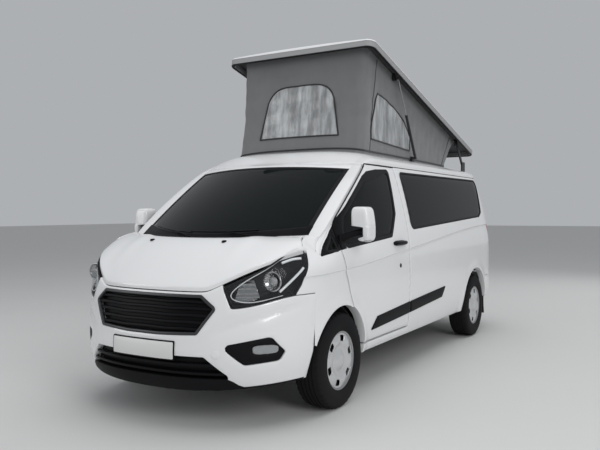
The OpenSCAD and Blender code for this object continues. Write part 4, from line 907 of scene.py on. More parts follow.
    def bonnet(self, u: Array, s: Array, d: Array) -> Array:
        """Bonnet: u across, s from the front edge to the scuttle."""
        y = u * mix(0.896, 0.810, s) * self.half_w
        zf = self.bonnet_lip(y)
        tip = self.nose_tip(zf)
        wide = self.section(zf) * (1 - self.pinch(2100.0, zf))
        xf = self.nose_start + (tip - self.nose_start) * bend(np.abs(y) / wide, self.nose_power) - self.seam
        xr = self.ws_base[0] + 0.052 * self.front_overhang - 0.25 * self.front_overhang * np.abs(u) ** 2.4
        zr = self.ws_base[1] + 0.010 * self.roof_h * u * u
        rib = 7 * np.exp(-(((np.abs(u) - mix(0.50, 0.62, s)) / 0.085) ** 2)) * ease(s / 0.25)
        z = mix(zf, zr, 1 - np.maximum(0, 1 - s) ** 1.55) + rib * (d < FACE_D) - d
        return pairs(mix(xf, xr, s), y, z)

    def header(self, y: Any) -> tuple[Array, Array]:
        """Place and height of the windscreen surround's top edge, by Y."""
        u = np.linspace(0, 2, 121)
        p = self.surround(u, np.ones(121), np.zeros(121))
        return np.interp(np.abs(y), p[:, 1], p[:, 0]), np.interp(np.abs(y), p[:, 1], p[:, 2])

    def roof(self, x: Array, a: Array, d: Array) -> Array:
        """Roof between the rails: a superellipse across, by angle in degrees, rolled down to the windscreen."""
        r = np.radians(a)
        s = np.abs(np.sin(r)) ** (2 / self.roof_power)
        y = np.sign(a) * (self.side_y(x, self.rail_z) - 0.2 * d) * s
        x_edge, z_edge = self.header(y)
        t = np.clip((x_edge - x) / self.roll_l, 0, 1)
        top = self.roof_top(x, y)
        z = mix(np.minimum(z_edge, top), top, 1 - (1 - t) ** self.roll_power)
        return pairs(x, y, z - d)

    def roof_rear(self, y: Array) -> Array:
        """Place of the roof's rear edge, by Y."""
        return self.axle_r - 0.755 * self.rear_overhang + 0.14 * self.rear_overhang * (np.abs(y) / self.half_w) ** 4

    def roof_top(self, x: Array, y: Array) -> Array:
        """Height of the roof's outer face."""
        crown = np.maximum(self.roof_mid(x), self.rail_z + 4)
        return self.rail_z + (crown - self.rail_z) * bend(np.abs(y) / self.side_y(x, self.rail_z), self.roof_power)

    def shell(self, s: Array, y: Array, d: Array) -> Array:
        """Raised roof shell: s back from its front edge, d below its top, crowned across."""
        fall = d + self.shell_crown * (y / self.shell_half) ** 2 * (d < FACE_D)
        x = self.shell_front[0] - s * self.tilt_dir[0] - fall * self.tilt_up[0]
        z = self.shell_front[1] - s * self.tilt_dir[1] - fall * self.tilt_up[1]
        return pairs(x, y, z)


@dataclass
class Workshop:
    """What every sub-assembly needs: the form, the finishes and a list of the pieces made."""

    form: Form
    finish: Finishes
    made: list[str] = field(default_factory=list)

    def add(
        self, name: str, shape: Shape, finish: str, body: str,
        replaces: Sequence[str] = (), slot: str = "", crease: float = 40,
    ) -> bpy.types.Object:
        """Makes a piece, dresses it and lets it ride.

        Args:
            name: piece name.
            shape: points and faces.
            finish: key of its finish.
            body: CAD body it moves with.
            replaces: CAD nodes it stands for.
            slot: not used.
            crease: edges that turn more than this stay sharp.

        Returns:
            The new object.
        """
        obj = add_mesh(name, shape[0], shape[1], self.finish[finish], crease)
        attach(obj, body)
        if replaces:
            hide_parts(*replaces)
        self.made.append(name)
        LOG.info("%s: %d faces on %s", name, len(obj.data.polygons), body)
        return obj

    def skin(
        self, name: str, at: Surface, outline: Array, finish: str, thick: float, edge: float = 5, step: float = 34,
        holes: Sequence[Array] = (), side: Side = Side.LEFT, body: str = BODY, nodes: Sequence[str] = (),
        slot: str = "", **how: Any,
    ) -> bpy.types.Object:
        """Makes a panel as a piece, turned over for the right side; what is left over goes to panel()."""
        shape = panel(at, outline, holes, thick, edge, step, **how)
        return self.add(name, mirrored(*shape, side), finish, body, nodes, slot)

    def on_side(self, name: str, side: Side, depth: float, outline: Array, *rest: Any, **how: Any) -> None:
        """A skin on the body's side, at a depth below its outer face."""
        self.skin(name, lowered(self.form.side, depth), outline, *rest, side=side, outward=-1, **how)


# ---- sub-assemblies ----


@dataclass
class Outlines:
    """Closed outlines of the panels and openings, on each surface's own two parameters."""

    form: Form
    hatch: tuple[float, float, float] = (-1435, 586, 520)

    def door_front(self) -> Array:
        """Edge between door and wing, from the top down."""
        return np.array([self.form.spot(*p) for p in ((-0.0075, 0.567), (-0.033, 0.46), (-0.051, 0.367))])

    def door(self) -> Array:
        """Opening of a front door, in (x, z)."""
        f = self.form
        top = f.pillar([0.22, 0.34, 0.5, 0.65, 0.8, 0.9, 1, 1.03], f.frame_t)
        edge = self.door_front()
        rear = [[f.pillar(1.05, f.frame_t)[0], f.rail_z], [f.door_rear, f.rail_z], [f.door_rear, f.door_low]]
        low = arc(f.axle_f, f.wheel_r, f.front_arch_r + 3, 172, 114)
        start = [[edge[0, 0], f.pillar(0.205, f.frame_t)[1]]]
        return np.concatenate([top, rear, low, edge[::-1], start])

    def door_window(self) -> Array:
        """Window of a front door."""
        f = self.form
        front = f.pillar([0.36, 0.5, 0.65, 0.8, 0.86], f.frame_t + 0.055 * f.half_w)
        rest = [f.spot(*p) for p in ((-0.352, 0.905), (-0.331, 0.715), (-0.285, 0.622), (-0.03, 0.590))]
        return rounded(np.concatenate([front, rest]), 0.02 * f.roof_h)

    def quarter(self) -> Array:
        """Small pane ahead of the door."""
        f = self.form
        d = f.frame_t + 0.03 * f.half_w
        base = [f.spot(0.006, 0.580), f.spot(0.056, 0.578)]
        up = [f.pillar(0.05, d), f.pillar(0.13, d), [base[0][0], f.pillar(0.14, d)[1]]]
        return rounded(np.array(base + [list(p) for p in up]), 0.008 * f.roof_h)

    def rear_window(self, side: Side) -> Array:
        """Rear side window, short on the sliding door's side."""
        f = self.form
        front = (f.spot(-0.428, 0.641), f.spot(-0.428, 0.905))
        if side is Side.RIGHT:
            front = (f.spot(-0.835, 0.650), f.spot(-0.835, 0.905))
        rear = [f.behind(*p) for p in ((0.525, 0.912), (0.398, 0.715), (0.286, 0.690))]
        return rounded(np.array([*front, *rear]), 0.032 * f.roof_h)

    def slide(self) -> Array:
        """Opening of the sliding door."""
        f = self.form
        front = f.door_rear - 0.02 * f.wheelbase
        back, low = f.axle_r + 0.20 * f.wheelbase, f.axle_r + 0.155 * f.wheelbase
        return np.array([[front, f.rail_z], [back, f.rail_z], [back, 0.42 * f.roof_h], [low, 0.30 * f.roof_h],
                         [low, f.door_low], [front, f.door_low]])

    def slide_window(self) -> Array:
        """Window of the sliding door."""
        p = [self.form.spot(*q) for q in ((-0.440, 0.641), (-0.440, 0.905), (-0.765, 0.905), (-0.765, 0.641))]
        return rounded(np.array(p), 0.032 * self.form.roof_h)

    def flank(self, side: Side) -> Array:
        """Body side from the door's rear edge to the tail corner, with the sill below the door."""
        f = self.form
        y = f.gate_half + f.door_gap
        notch_x, z1, z0 = f.tail_start - 0.42 * f.rear_overhang, 0.70 * f.roof_h, 0.44 * f.roof_h
        high, low = np.linspace(f.rail_z, z1, 14), np.linspace(z0, f.gate_low, 8)
        tail = np.concatenate([pairs(f.tail_end(high, y), high), [[notch_x, z1], [notch_x, z0]],
                               pairs(f.tail_end(low, y), low)])
        wheel = arc(f.axle_r, f.wheel_r, f.rear_arch_r, 172, -2.4, 48)
        corner = [[wheel[0, 0], f.gate_low]]
        sill = [[f.axle_f - f.front_arch_r - 4, f.sill_z], [f.axle_f - f.front_arch_r - 1, f.door_low - f.door_gap],
                [f.door_rear, f.door_low - f.door_gap]]
        top = [[f.door_rear, f.rail_z]]
        if side is Side.RIGHT:
            top += self.slide()[[0, 5, 4, 3, 2, 1]].tolist()
        return np.concatenate([top, tail, corner, wheel, sill])

    def wing(self) -> Array:
        """Front wing between pillar, bonnet, lamp, bumper, wheel arch and door."""
        f = self.form
        one = np.ones(8)
        pillar = f.pillar([0.205, 0.12, 0, -0.11], f.frame_t + f.seam)
        cowl = np.array([f.pillar(-0.13, f.frame_t), f.pillar(-0.13, -f.seam), f.pillar(0, -f.seam),
                         f.pillar(0.03, -f.seam)])
        lid = f.bonnet(one, np.linspace(1, 0.06, 8), 0 * one)[:, [0, 2]] - [0, f.seam]
        edge = self.lamp_end()[::-1] + [0.4, 0]
        below = np.linspace(67.4, 80, 6)
        front = np.concatenate([edge, pairs(below, self.lamp_low(below) + 1),
                                pairs(80, f.roof_h * np.array([0.42, 0.38, 0.34, 0.30, 0.264]))])
        lamp = f.nose(front[:, 0], front[:, 1], np.zeros(len(front)))[:, [0, 2]]
        wheel = arc(f.axle_f, f.wheel_r, f.front_arch_r, 24.5, 114, 36)
        gap = np.array([f.door_gap, 0])
        door = self.door_front()[::-1] + gap
        up = [[door[2, 0], f.pillar(0.205, f.frame_t)[1]]]
        return np.concatenate([pillar, cowl, lid, lamp, wheel, door, up])

    def on_nose(self, shares: Sequence[tuple[float, float]], radius: float) -> Array:
        """Outline given as shares of half width and roof height, in nose angle and height."""
        f = self.form
        p = rounded(np.array(shares) * [f.half_w, f.roof_h], radius, 4)
        p = resample(turned_left(p), 20, np.ones(2))
        return pairs(f.nose_angle(p[:, 0], p[:, 1]), p[:, 1])

    def bumper(self) -> Array:
        """Front bumper, in nose angle and height; its ends follow the wheel arches."""
        f = self.form
        a = np.linspace(-80, 80, 161)
        low = f.roof_h * mix(0.129, 0.153, ease(np.abs(a) / 80))
        y = np.abs(f.nose(a, np.full(161, 0.46 * f.roof_h), np.zeros(161))[:, 1])
        middle = f.bonnet_lip(y) - f.bonnet_t - f.door_gap
        slant = mix(self.lamp_high(np.array(31.0)) - 30, self.lamp_low(np.array(35.0)) - f.seam, (np.abs(a) - 31) / 4.2)
        high = np.where(np.abs(a) >= 30.6, np.maximum(self.lamp_low(a) - f.seam, slant), middle)
        z = np.linspace(low[-1], high[-1], 14)[1:-1]
        x = f.axle_f + np.sqrt(np.maximum(0, (f.front_arch_r + 3) ** 2 - (z - f.wheel_r) ** 2))
        share = np.clip((x - f.nose_start) / (f.nose_tip(z) - f.nose_start), 0, 1) ** (f.nose_power / 2)
        ends = np.minimum(80, np.degrees(np.arccos(share)))
        right, left = pairs(ends, z), pairs(-ends, z)[::-1]
        return np.concatenate([pairs(a * 0.972, low), right, pairs(a, high)[::-1], left])

    def lamp_low(self, a: Array) -> Array:
        """Lower edge of a headlamp."""
        return self.form.roof_h * mix(0.408, 0.445, ease((np.abs(a) - 34) / 36))

    def lamp_high(self, a: Array) -> Array:
        """Upper edge of a headlamp."""
        f = self.form
        y = f.nose(np.abs(a), np.full(np.shape(a), 0.5 * f.roof_h), np.zeros(np.shape(a)))[..., 1]
        return f.bonnet_lip(y) - mix(f.bonnet_t + 3 * f.door_gap, 12, ease((np.abs(a) - 44) / 24))

    def lamp_end(self) -> Array:
        """Slanted outer edge of a headlamp, from its lower corner to its tip, in nose angle and height."""
        h = self.form.roof_h
        return np.array([(67, 0.444 * h), (70.3, 0.476 * h), (72.8, 0.520 * h), (74.8, 0.555 * h), (76.9, 0.590 * h)])

    def headlamp(self) -> Array:
        """Left headlamp, in nose angle and height."""
        low, high = np.linspace(35.6, 66.5, 18), np.linspace(31, 76, 24)
        start = [(31.2, self.lamp_high(np.array(31.0)) - 26)]
        return np.concatenate([start, pairs(low, self.lamp_low(low) + 3), self.lamp_end()[:-1],
                               pairs(high, self.lamp_high(high) - 3)[::-1]])

    def gate(self) -> Array:
        """Tailgate opening, in (y, z)."""
        f = self.form
        g = f.gate_half
        half = [(g, f.gate_low), (g, 0.83 * f.roof_h), (0.90 * g, 0.912 * f.roof_h), (0.70 * g, f.gate_high)]
        return rounded(np.array(half + [(-y, z) for y, z in half[::-1]]), 0.03 * f.roof_h)

    def gate_window(self) -> Array:
        """Tailgate window, in (y, z)."""
        f = self.form
        half = [(0.66 * f.half_w, 0.645 * f.roof_h), (0.60 * f.half_w, 0.882 * f.roof_h)]
        return rounded(np.array(half + [(-y, z) for y, z in half[::-1]]), 0.03 * f.roof_h)


def lowered(at: Surface, by: float) -> Surface:
    """The same surface, moved inwards by a distance."""
    return lambda p, q, d: at(p, q, d + by)


def ring(outline: Array, width: float, scale: Sequence[float] = (1, 1)) -> tuple[Array, Array]:
    """An outline and the one that lies inside it by a width."""
    s = np.asarray(scale, float)
    p = resample(turned_left(outline), OUTLINE_STEP, s)
    return p, inset(p, width, s)


def capped(g: Array) -> Shape:
    """Closed skin over rings of points, counter-clockwise about the way they run, with both ends filled."""
    m, n = g.shape[:2]
    verts = np.concatenate([g.reshape(-1, 3), g[:1].mean(1), g[-1:].mean(1)])
    i = np.arange(n)
    j = (i + 1) % n
    last = (m - 1) * n
    ends = [np.stack([np.full(n, m * n), j, i], 1), np.stack([np.full(n, m * n + 1), last + i, last + j], 1)]
    return verts, [quads(m, n, False, True)[:, ::-1], *ends]


def slab(g: Array, back: Sequence[float]) -> Shape:
    """Closed slab between a grid of points and the same grid moved back."""
    return capped(np.concatenate([g, (g + back)[:, ::-1]], 1))


def pad(
    centre: Sequence[float], size: Sequence[float], power: float = 4, n: int = 36, tuft: float = 0
) -> Shape:
    """Rounded block: a superellipsoid |x|^p + |y|^p + |z|^p = 1, with tufts pressed into it.

    Args:
        centre: middle of the block.
        size: full sizes along X, Y and Z.
        power: 2 for an egg, higher for a box with rolled edges.
        n: points round the block.
        tuft: depth of the rounded channels that run across it.

    Returns:
        Points and faces.
    """
    e = 2 / power
    phi = np.linspace(-0.495 * math.pi, 0.495 * math.pi, n // 2 + 1)[:, None]
    th = turn(n)[None]
    wide = curl(np.cos(phi), e)
    g = pairs(wide * curl(np.cos(th), e), wide * curl(np.sin(th), e), curl(np.sin(phi), e))
    press = 1 - tuft * np.abs(np.sin(3 * math.pi * g[..., 1:2])) ** 6
    return capped(np.asarray(centre) + g * press * np.asarray(size) / 2)


def rod(a: Sequence[float], b: Sequence[float], r: float, n: int = 14) -> Shape:
    """Round bar between two points, with a small chamfer at its ends."""
    p, q = np.asarray(a, float), np.asarray(b, float)
    along = (q - p) / np.linalg.norm(q - p)
    path = np.stack([p, p + along * 0.25 * r, q - along * 0.25 * r, q])
    return tube(path, np.array([0.75, 1, 1, 0.75]) * r, n)


@dataclass
class BodyShell:
    """Fixed painted panels, their windows, and the trim that rides on them."""

    shop: Workshop
    lines: Outlines
    rub_z: tuple[float, float, float, float] = (478, 578, 560, 662)
    rub_x: tuple[float, float] = (1163, -601)
    rub_cut: tuple[float, float] = (118, 104)
    rub_proud: float = 9
    seal_w: float = 13
    seal_over: float = 5
    glass_gap: float = 1.5
    flap_z: tuple[float, float] = (195, 415)
    track_z: tuple[float, float] = (1107, 1133)

    def build(self) -> None:
        """Makes the pieces."""
        f, lines, on_side = self.shop.form, self.lines, self.shop.on_side
        folds = f.creases()
        for side in Side:
            tag = side.tag
            window, quarter = lines.rear_window(side), lines.quarter()
            on_side(f"flank_{tag}", side, 0, lines.flank(side), "paint", f.wall_t, holes=[window], folds=folds,
                    nodes=[f"side_{tag}"], slot="paint")
            on_side(f"wing_skin_{tag}", side, 0, lines.wing(), "paint", 5, 2, 26, [quarter], folds=folds,
                    nodes=[f"wing_{tag}"], slot="paint")
            self.shoulder(side)
            self.pane(f"rear_pane_{tag}", window, side, BODY, "dark_glass", ["side_glass"])
            self.pane(f"quarter_pane_{tag}", quarter, side, BODY, "dark_glass", [])
            self.corner(side)
            self.gutter(side)
            edge = f.door_rear if side is Side.LEFT else lines.slide()[0, 0]
            self.rub(side, edge - f.door_gap, self.rub_x[1], BODY, "side")
            self.flap(side)
        hole, window = lines.slide(), lines.slide_window()
        on_side("sliding_skin", Side.RIGHT, 0, ring(hole, f.door_gap)[1], "paint", f.door_t, holes=[window],
                folds=folds, nodes=["sliding_door"], slot="paint")
        self.pane("sliding_pane", window, Side.RIGHT, BODY, "dark_glass", [])
        self.handle("sliding_handle", Side.RIGHT, hole[0, 0] - 250, 190, 1142, BODY)
        self.track()
        self.roof()
        self.screen()

    def pane(
        self, name: str, window: Array, side: Side, body: str, finish: str, nodes: Sequence[str],
        border: Array | None = None,
    ) -> None:
        """Glass in a side window, with its black seal, which reaches out over the panel to a border."""
        f, on_side = self.shop.form, self.shop.on_side
        out, inn = ring(window, self.seal_w)
        on_side(name, side, f.glass_in, ring(window, self.glass_gap)[1], finish, f.glass_t, 1, 60, body=body,
                nodes=nodes, slot="glass")
        edge = inset(out, -self.seal_over, np.ones(2)) if border is None else border
        on_side(f"{name}_seal", side, -1.5, edge, "rubber", 14, 3, 60, [inn], body=body)

    def corner(self, side: Side) -> None:
        """Black panel round the quarter pane, the seal behind it, and the closing panel under the pillar's foot."""
        f, on_side, tag = self.shop.form, self.shop.on_side, side.tag
        edge = self.lines.door_front()[0, 0]
        x0, x1 = edge - 24, edge + 24
        x, high = edge + f.door_gap + 1, f.pillar(0.20, f.frame_t + 9)[1]
        up = f.pillar([-0.045, 0.03, 0.10, 0.17], f.frame_t + 9)
        out = rounded(np.concatenate([[[x, 0.582 * f.roof_h], f.spot(0.079, 0.5645)], up, [[x, high]]]), 5, 3)
        strip = np.array([[x0, 0.575 * f.roof_h], [x1, 0.572 * f.roof_h], [x1, high - 12], [x0, high + 4]])
        on_side(f"quarter_seal_{tag}", side, 7, strip, "rubber", 5, 1, 40)
        on_side(f"quarter_panel_{tag}", side, -1.5, out, "satin", 8, 2, 40, [self.lines.quarter()])
        v = np.array([0.24, 0.1, 0, -0.1, -0.17])
        foot = np.concatenate([f.pillar(v, 3), f.pillar(v[::-1], 70)])
        on_side(f"pillar_foot_{tag}", side, 9, foot, "paint", 6, 1, 40)

    def shoulder(self, side: Side) -> None:
        """Top of a wing beside the bonnet: straight lines from the bonnet's edge out to the wing's."""
        f = self.shop.form
        s, q = np.meshgrid(np.linspace(1, 0.3, 26), np.linspace(0, 1, 7), indexing="ij")
        b = f.bonnet(1 + 0 * s, s, 0 * s)
        z = b[..., 2] - f.seam
        y = mix(b[..., 1] + 4, np.maximum(f.side_y(b[..., 0], z), b[..., 1] + 5), q)
        top = pairs(b[..., 0], y, z + 5 * np.sin(math.pi * q))
        self.shop.add(f"wing_top_{side.tag}", mirrored(*slab(top, [0, 0, -9]), side), "paint", BODY)

    def gutter(self, side: Side) -> None:
        """Black seal over a door, from the pillar's foot to the rear post."""
        f = self.shop.form
        up = f.pillar(np.linspace(0.26, 1.03, 26), f.frame_t - 2)
        x, z = np.concatenate([up, pairs(np.linspace(up[-1, 0] - 18, f.door_rear, 18), f.rail_z - 1)]).T
        path = pairs(x, f.side_y(x, z) - 1, z)
        self.shop.add(f"gutter_{side.tag}", mirrored(*tube(path, 4.5, 8), side), "rubber", BODY)

    def rub(self, side: Side, front: float, rear: float, body: str, name: str) -> None:
        """Black rub strip on the lower side, slanted at its free ends."""
        x0, x1 = self.rub_x

        def edge(k: int, x: float) -> float:
            """Height of the strip's lower (0) or upper (1) edge."""
            return mix(self.rub_z[k], self.rub_z[k + 2], (x0 - x) / (x0 - x1))

        front_cut, rear_cut = self.rub_cut[0] * (front == x0), self.rub_cut[1] * (rear == x1)
        pts = [(front, edge(0, front)), (front - front_cut, edge(1, front)), (rear, edge(1, rear)),
               (rear + rear_cut, edge(0, rear))]
        self.shop.on_side(f"rub_{name}_{side.tag}", side, -self.rub_proud, rounded(pts, 9), "black", self.rub_proud + 6,
                          7, 60, body=body, slot="black_plastic")

    def handle(self, name: str, side: Side, x: float, long: float, z: float, body: str) -> None:
        """Bowed grip over a dark cup."""
        f = self.shop.form
        t = np.linspace(0, 1, 25)
        px = x + long * t
        out = 30 * np.sin(math.pi * t) ** 0.2 - 6
        path = pairs(px, f.side_y(px, z) + out, z)
        grip = tube(path, 15 + 2 * np.sin(math.pi * t), 12)
        k = 2 * math.pi * t[:-1]
        cup = pairs(x + long / 2 + 0.5 * long * curl(np.cos(k), 0.6), z + 22 * curl(np.sin(k), 0.6))
        dish = panel(lowered(f.side, -1.5), cup, [], 6, 2, 40, outward=-1)
        self.shop.add(name, mirrored(*joined([grip, dish]), side), "satin", body, slot="black_plastic")

    def flap(self, side: Side) -> None:
        """Mud flap behind a rear wheel, curved a little along its height."""
        f = self.shop.form
        u, v = np.meshgrid(np.linspace(0, 1, 9), np.linspace(0, 1, 13), indexing="ij")
        y, z = mix(0.74 * f.half_w, 0.955 * f.half_w, u), mix(*self.flap_z, v)
        face = pairs(f.axle_r - f.rear_arch_r - 2 - 26 * (1 - v) ** 2, y, z)
        self.shop.add(f"mud_flap_{side.tag}", mirrored(*slab(face[::-1], [-7, 0, 0]), side), "rubber", BODY)

    def track(self) -> None:
        """Slot of the sliding door's middle rail, along the right side."""
        f = self.shop.form
        x = np.linspace(f.axle_r + 0.20 * f.wheelbase - 12, f.tail_start - 0.12 * f.rear_overhang, 40)
        self.shop.on_side("slide_track", Side.RIGHT, -2, between(x, *self.track_z), "rubber", 8, 2, 60)

    def roof(self) -> None:
        """Roof skin with its hatch."""
        f = self.shop.form
        a = np.linspace(-90, 90, 61)
        y = np.sign(a) * f.side_y(0.0, f.rail_z) * np.abs(np.sin(np.radians(a))) ** (2 / f.roof_power)
        front = f.header(y)[0] - f.seam
        out = np.concatenate([pairs(f.roof_rear(y), a)[::-1], pairs(front, a)])
        x0, x1, h = self.lines.hatch
        ah = math.degrees(math.asin((h / f.side_y(0.0, f.rail_z)) ** (f.roof_power / 2)))
        hole = np.array([[x0, -ah], [x1, -ah], [x1, ah], [x0, ah]])
        self.shop.skin("roof_skin", f.roof, out, "paint", 18, 4, 40, [hole], nodes=["roof_panel"], slot="paint",
                       scale=(1, 12))

    def screen(self) -> None:
        """Windscreen, its surround, scuttle and wipers."""
        f, skin = self.shop.form, self.shop.skin
        scale = (620, 1050)
        u = np.linspace(-1, 1, 41)
        glass = between(u, 0.02 + 0.085 * u * u, 0.965 - 0.055 * u * u)
        skin("screen_surround", f.surround, between(2 * u, -0.11, 1), "paint", f.frame_t, 3, 40, [glass],
             nodes=["windscreen_frame"], slot="paint", scale=scale)
        skin("screen_glass", lowered(f.surround, f.glass_in), ring(glass, 2, scale)[1], "glass", f.glass_t, 1, 60,
             nodes=["windscreen"], slot="glass", scale=scale)
        rim, bead = ring(glass, 26, scale)
        skin("screen_band", lowered(f.surround, 1.5), inset(rim, -2, np.array(scale)), "rubber", 10, 2, 60, [bead],
             scale=scale)
        u = np.linspace(-1.03, 1.03, 41)
        skin("scuttle", lowered(f.surround, -3), between(u, -0.105, 0.032 + 0.085 * u * u), "black", 8, 2, 40,
             slot="black_plastic", scale=scale)
        parts = []
        for base, tip in ((0.58, -0.12), (-0.10, -0.74)):
            t = np.linspace(0, 1, 30)
            uu = mix(base, tip, t)
            up = 0.035 + 0.085 * uu * uu + 0.012 * t
            parts.append(tube(f.surround(uu, up, np.full(30, -13.0)), 6 - 2 * t, 8))
            arm_u = mix(base + 0.14, mix(base, tip, 0.5), t)
            arm_v = mix(-0.04, mix(up[0], up[-1], 0.5), t)
            parts.append(tube(f.surround(arm_u, arm_v, -8 - 10 * np.sin(math.pi * t)), 7 - 2.5 * t, 8))
        self.shop.add("wipers", joined(parts), "satin", BODY)


@dataclass
class Nose:
    """Bumper, grille, lamps, plate and bonnet."""

    shop: Workshop
    lines: Outlines
    grille: tuple = ((-0.535, 0.408), (-0.43, 0.450), (0.43, 0.450), (0.535, 0.408), (0.42, 0.322), (0.14, 0.316),
                     (-0.14, 0.316), (-0.42, 0.322))
    intake: tuple = ((-0.63, 0.175), (-0.47, 0.250), (0.47, 0.250), (0.63, 0.175), (0.5, 0.162), (-0.5, 0.162))
    fog: tuple = ((0.57, 0.286), (0.83, 0.314), (0.885, 0.262), (0.86, 0.232), (0.70, 0.222))
    plate: tuple[float, float, float] = (520, 110, 517)
    scale: tuple[float, float] = (17, 1)
    surround_w: float = 17
    projector: tuple[float, float] = (53.5, 58)

    def build(self) -> None:
        """Makes the pieces."""
        f, lines = self.shop.form, self.lines
        grille = lines.on_nose(self.grille, 0.012 * f.roof_h)
        intake = lines.on_nose(self.intake, 0.012 * f.roof_h)
        fog = lines.on_nose(self.fog, 0.014 * f.roof_h)
        other = fog * [-1, 1]
        rise = lambda a: f.roof_h * through(np.abs(a), ((0, 0.29), (20, 0.308), (40, 0.359), (60, 0.396), (85, 0.424)))
        fade = lambda a: 13 * ease((np.abs(a) - 24) / 12) * (1 - ease((np.abs(a) - 66) / 13))
        at = lambda a, z, d: f.nose(a, z, d + (d < FACE_D) * fade(a) * np.exp(-np.abs(z - rise(a)) / 45))
        line = np.linspace(22, 80, 60)
        folds = [pairs(k * line, rise(line) + t) for k in (-1, 1) for t in (-22, 0, 22)]
        self.shop.skin("bumper_skin", at, lines.bumper(), "paint", f.bumper_t, 5, 30, [grille, intake, fog, other],
                       nodes=["bumper_front"], slot="paint", scale=self.scale, folds=folds)
        self.mouth("grille_mesh", grille, 5, 34, ["grille"], 1.5)
        self.mouth("intake_mesh", intake, 2, 40, [], 0)
        rim, inner = ring(grille, self.surround_w, self.scale)
        self.skin("grille_surround", -3, inset(rim, -3, np.array(self.scale)), "surround", 22, 4, 60, [inner])
        self.lip()
        for side in Side:
            self.fog_lamp(side, fog)
            self.headlamp(side)
        self.plate_and_frame()
        self.bonnet()

    def mouth(self, name: str, hole: Array, bars: int, deep: float, nodes: Sequence[str], wave: float) -> None:
        """Dark back with level slats that bow a little, cut to the opening's width at their height."""
        f = self.shop.form
        _, back = ring(hole, 1.5, self.scale)
        parts = [panel(lowered(f.nose, deep), back, [], 14, 1, 60, self.scale)]
        z0, z1 = hole[:, 1].min(), hole[:, 1].max()
        for z in np.linspace(z0, z1, bars + 2)[1:-1]:
            try_a = np.linspace(0, 60, 241)
            held = inside(hole, pairs(try_a, z))
            end = try_a[held].max() - 0.6
            a = np.linspace(-end, end, 49)
            k = turn(12)
            zz = z + wave * np.cos(a / end * 3 * math.pi)[:, None] + 11 * curl(np.sin(k), 0.7)
            dd = 20 - 12 * curl(np.cos(k), 0.7)
            g = f.nose(np.repeat(a[:, None], 12, 1), zz, np.repeat(dd[None], 49, 0))
            parts.append(capped(g[:, ::-1]))
        self.shop.add(name, joined(parts), "satin", BODY, nodes, "black_plastic")

    def skin(self, name: str, depth: float, outline: Array, *rest: Any, **how: Any) -> None:
        """A skin on the nose, at a depth below its outer face."""
        self.shop.skin(name, lowered(self.shop.form.nose, depth), outline, *rest, scale=self.scale, **how)

    def lip(self) -> None:
        """Dark lower edge of the bumper."""
        f = self.shop.form
        a = np.linspace(-76, 76, 61)
        low = f.roof_h * mix(0.129, 0.153, ease(np.abs(a) / 80))
        y = np.abs(f.nose(a, low, 0 * a)[:, 1]) / f.half_w
        high = low + mix(0.175 * f.roof_h + 4 - low, 12, ease((y - 0.58) / 0.10))
        self.skin("bumper_lip", -3, between(a, low - 3, high), "black", 40, 5, 50)
        t = turn(28)
        tow = pairs(f.nose_angle(0.545 * f.half_w + 27 * np.cos(t), np.full(28, 505.0)), 502 + 27 * np.sin(t))
        self.skin("tow_cover", -2, tow, "paint", 6, 1.5, 30)

    def fog_lamp(self, side: Side, fog: Array) -> None:
        """Black bezel with a clear lamp in it."""
        f = self.shop.form
        tag = side.tag
        t = turn(36)
        y, z = 0.803 * f.half_w + 58 * curl(np.cos(t), 0.6), 0.272 * f.roof_h + 30 * curl(np.sin(t), 0.6)
        eye = pairs(f.nose_angle(y, z), z)
        ribbed = lambda a, z, d: f.nose(a, z, d + 12 + 2.2 * np.cos(a * 17 / 1.7))
        self.skin(f"fog_bezel_{tag}", 8, ring(fog, 1.5, self.scale)[1], "black", 26, 6, 40, [eye], side,
                  nodes=["fog_lamps"])
        self.shop.skin(f"fog_lens_{tag}", ribbed, ring(eye, 1, self.scale)[1], "frost", 14, 4, 2.6, side=side,
                       slot="lamp_clear", scale=self.scale)

    def headlamp(self, side: Side) -> None:
        """Lens over a dark bowl with a fluted tray, a projector dish in a hoop and three light guides."""
        f, lines, add = self.shop.form, self.lines, self.shop.add
        tag = side.tag
        out = lines.headlamp()
        self.skin(f"lamp_lens_{tag}", 2, out, "lens", 4, 2, 40, side=side, nodes=["headlamps"], slot="lamp_clear")
        _, rim = ring(out, 2, self.scale)
        depth = lambda a, z: 30 + 34 * ease(np.minimum(z - lines.lamp_low(a), lines.lamp_high(a) - z) / 45)
        hollow = lambda a, z, d: f.nose(a, z, depth(a, z) * (d < FACE_D) + d + 50 * (d >= FACE_D))
        bowl = panel(hollow, rim, [], 40, 1, 16, self.scale)
        wall_out, wall_in = ring(out, 11, self.scale)
        wall = panel(lowered(f.nose, 7), wall_out, [wall_in], 30, 2, 60, self.scale)
        add(f"lamp_bowl_{tag}", mirrored(*joined([bowl, wall]), side), "satin", BODY)
        low = np.linspace(36.5, 49, 13)
        tray = between(low, lines.lamp_low(low) + 30, lines.lamp_high(low) - 34)
        fluted = lambda a, z, d: f.nose(a, z, d + 27 + 4 * np.cos(z / 4.5))
        a0, r = self.projector
        z0 = 0.5 * float(lines.lamp_low(np.array(a0)) + lines.lamp_high(np.array(a0)))
        p = f.nose(np.array([a0]), np.array([z0]), np.array([14.0]))[0]
        k = turn(48)
        hoop = p + pairs(-2, 1.06 * r * np.cos(k), 1.06 * r * np.sin(k))
        shine = [panel(fluted, rounded(tray[::6], 10, 3), [], 12, 2, 6, self.scale), self.dish(p, r),
                 tube(hoop, 6.5, 10, True)]
        add(f"lamp_mirror_{tag}", mirrored(*joined(shine), side), "chrome", BODY)
        eye = pad(p - [16, 0, 0], (30, 1.05 * r, 1.05 * r), 2.2, 24)
        add(f"lamp_eye_{tag}", mirrored(*eye, side), "frost", BODY)
        t = np.linspace(0, 1, 40)
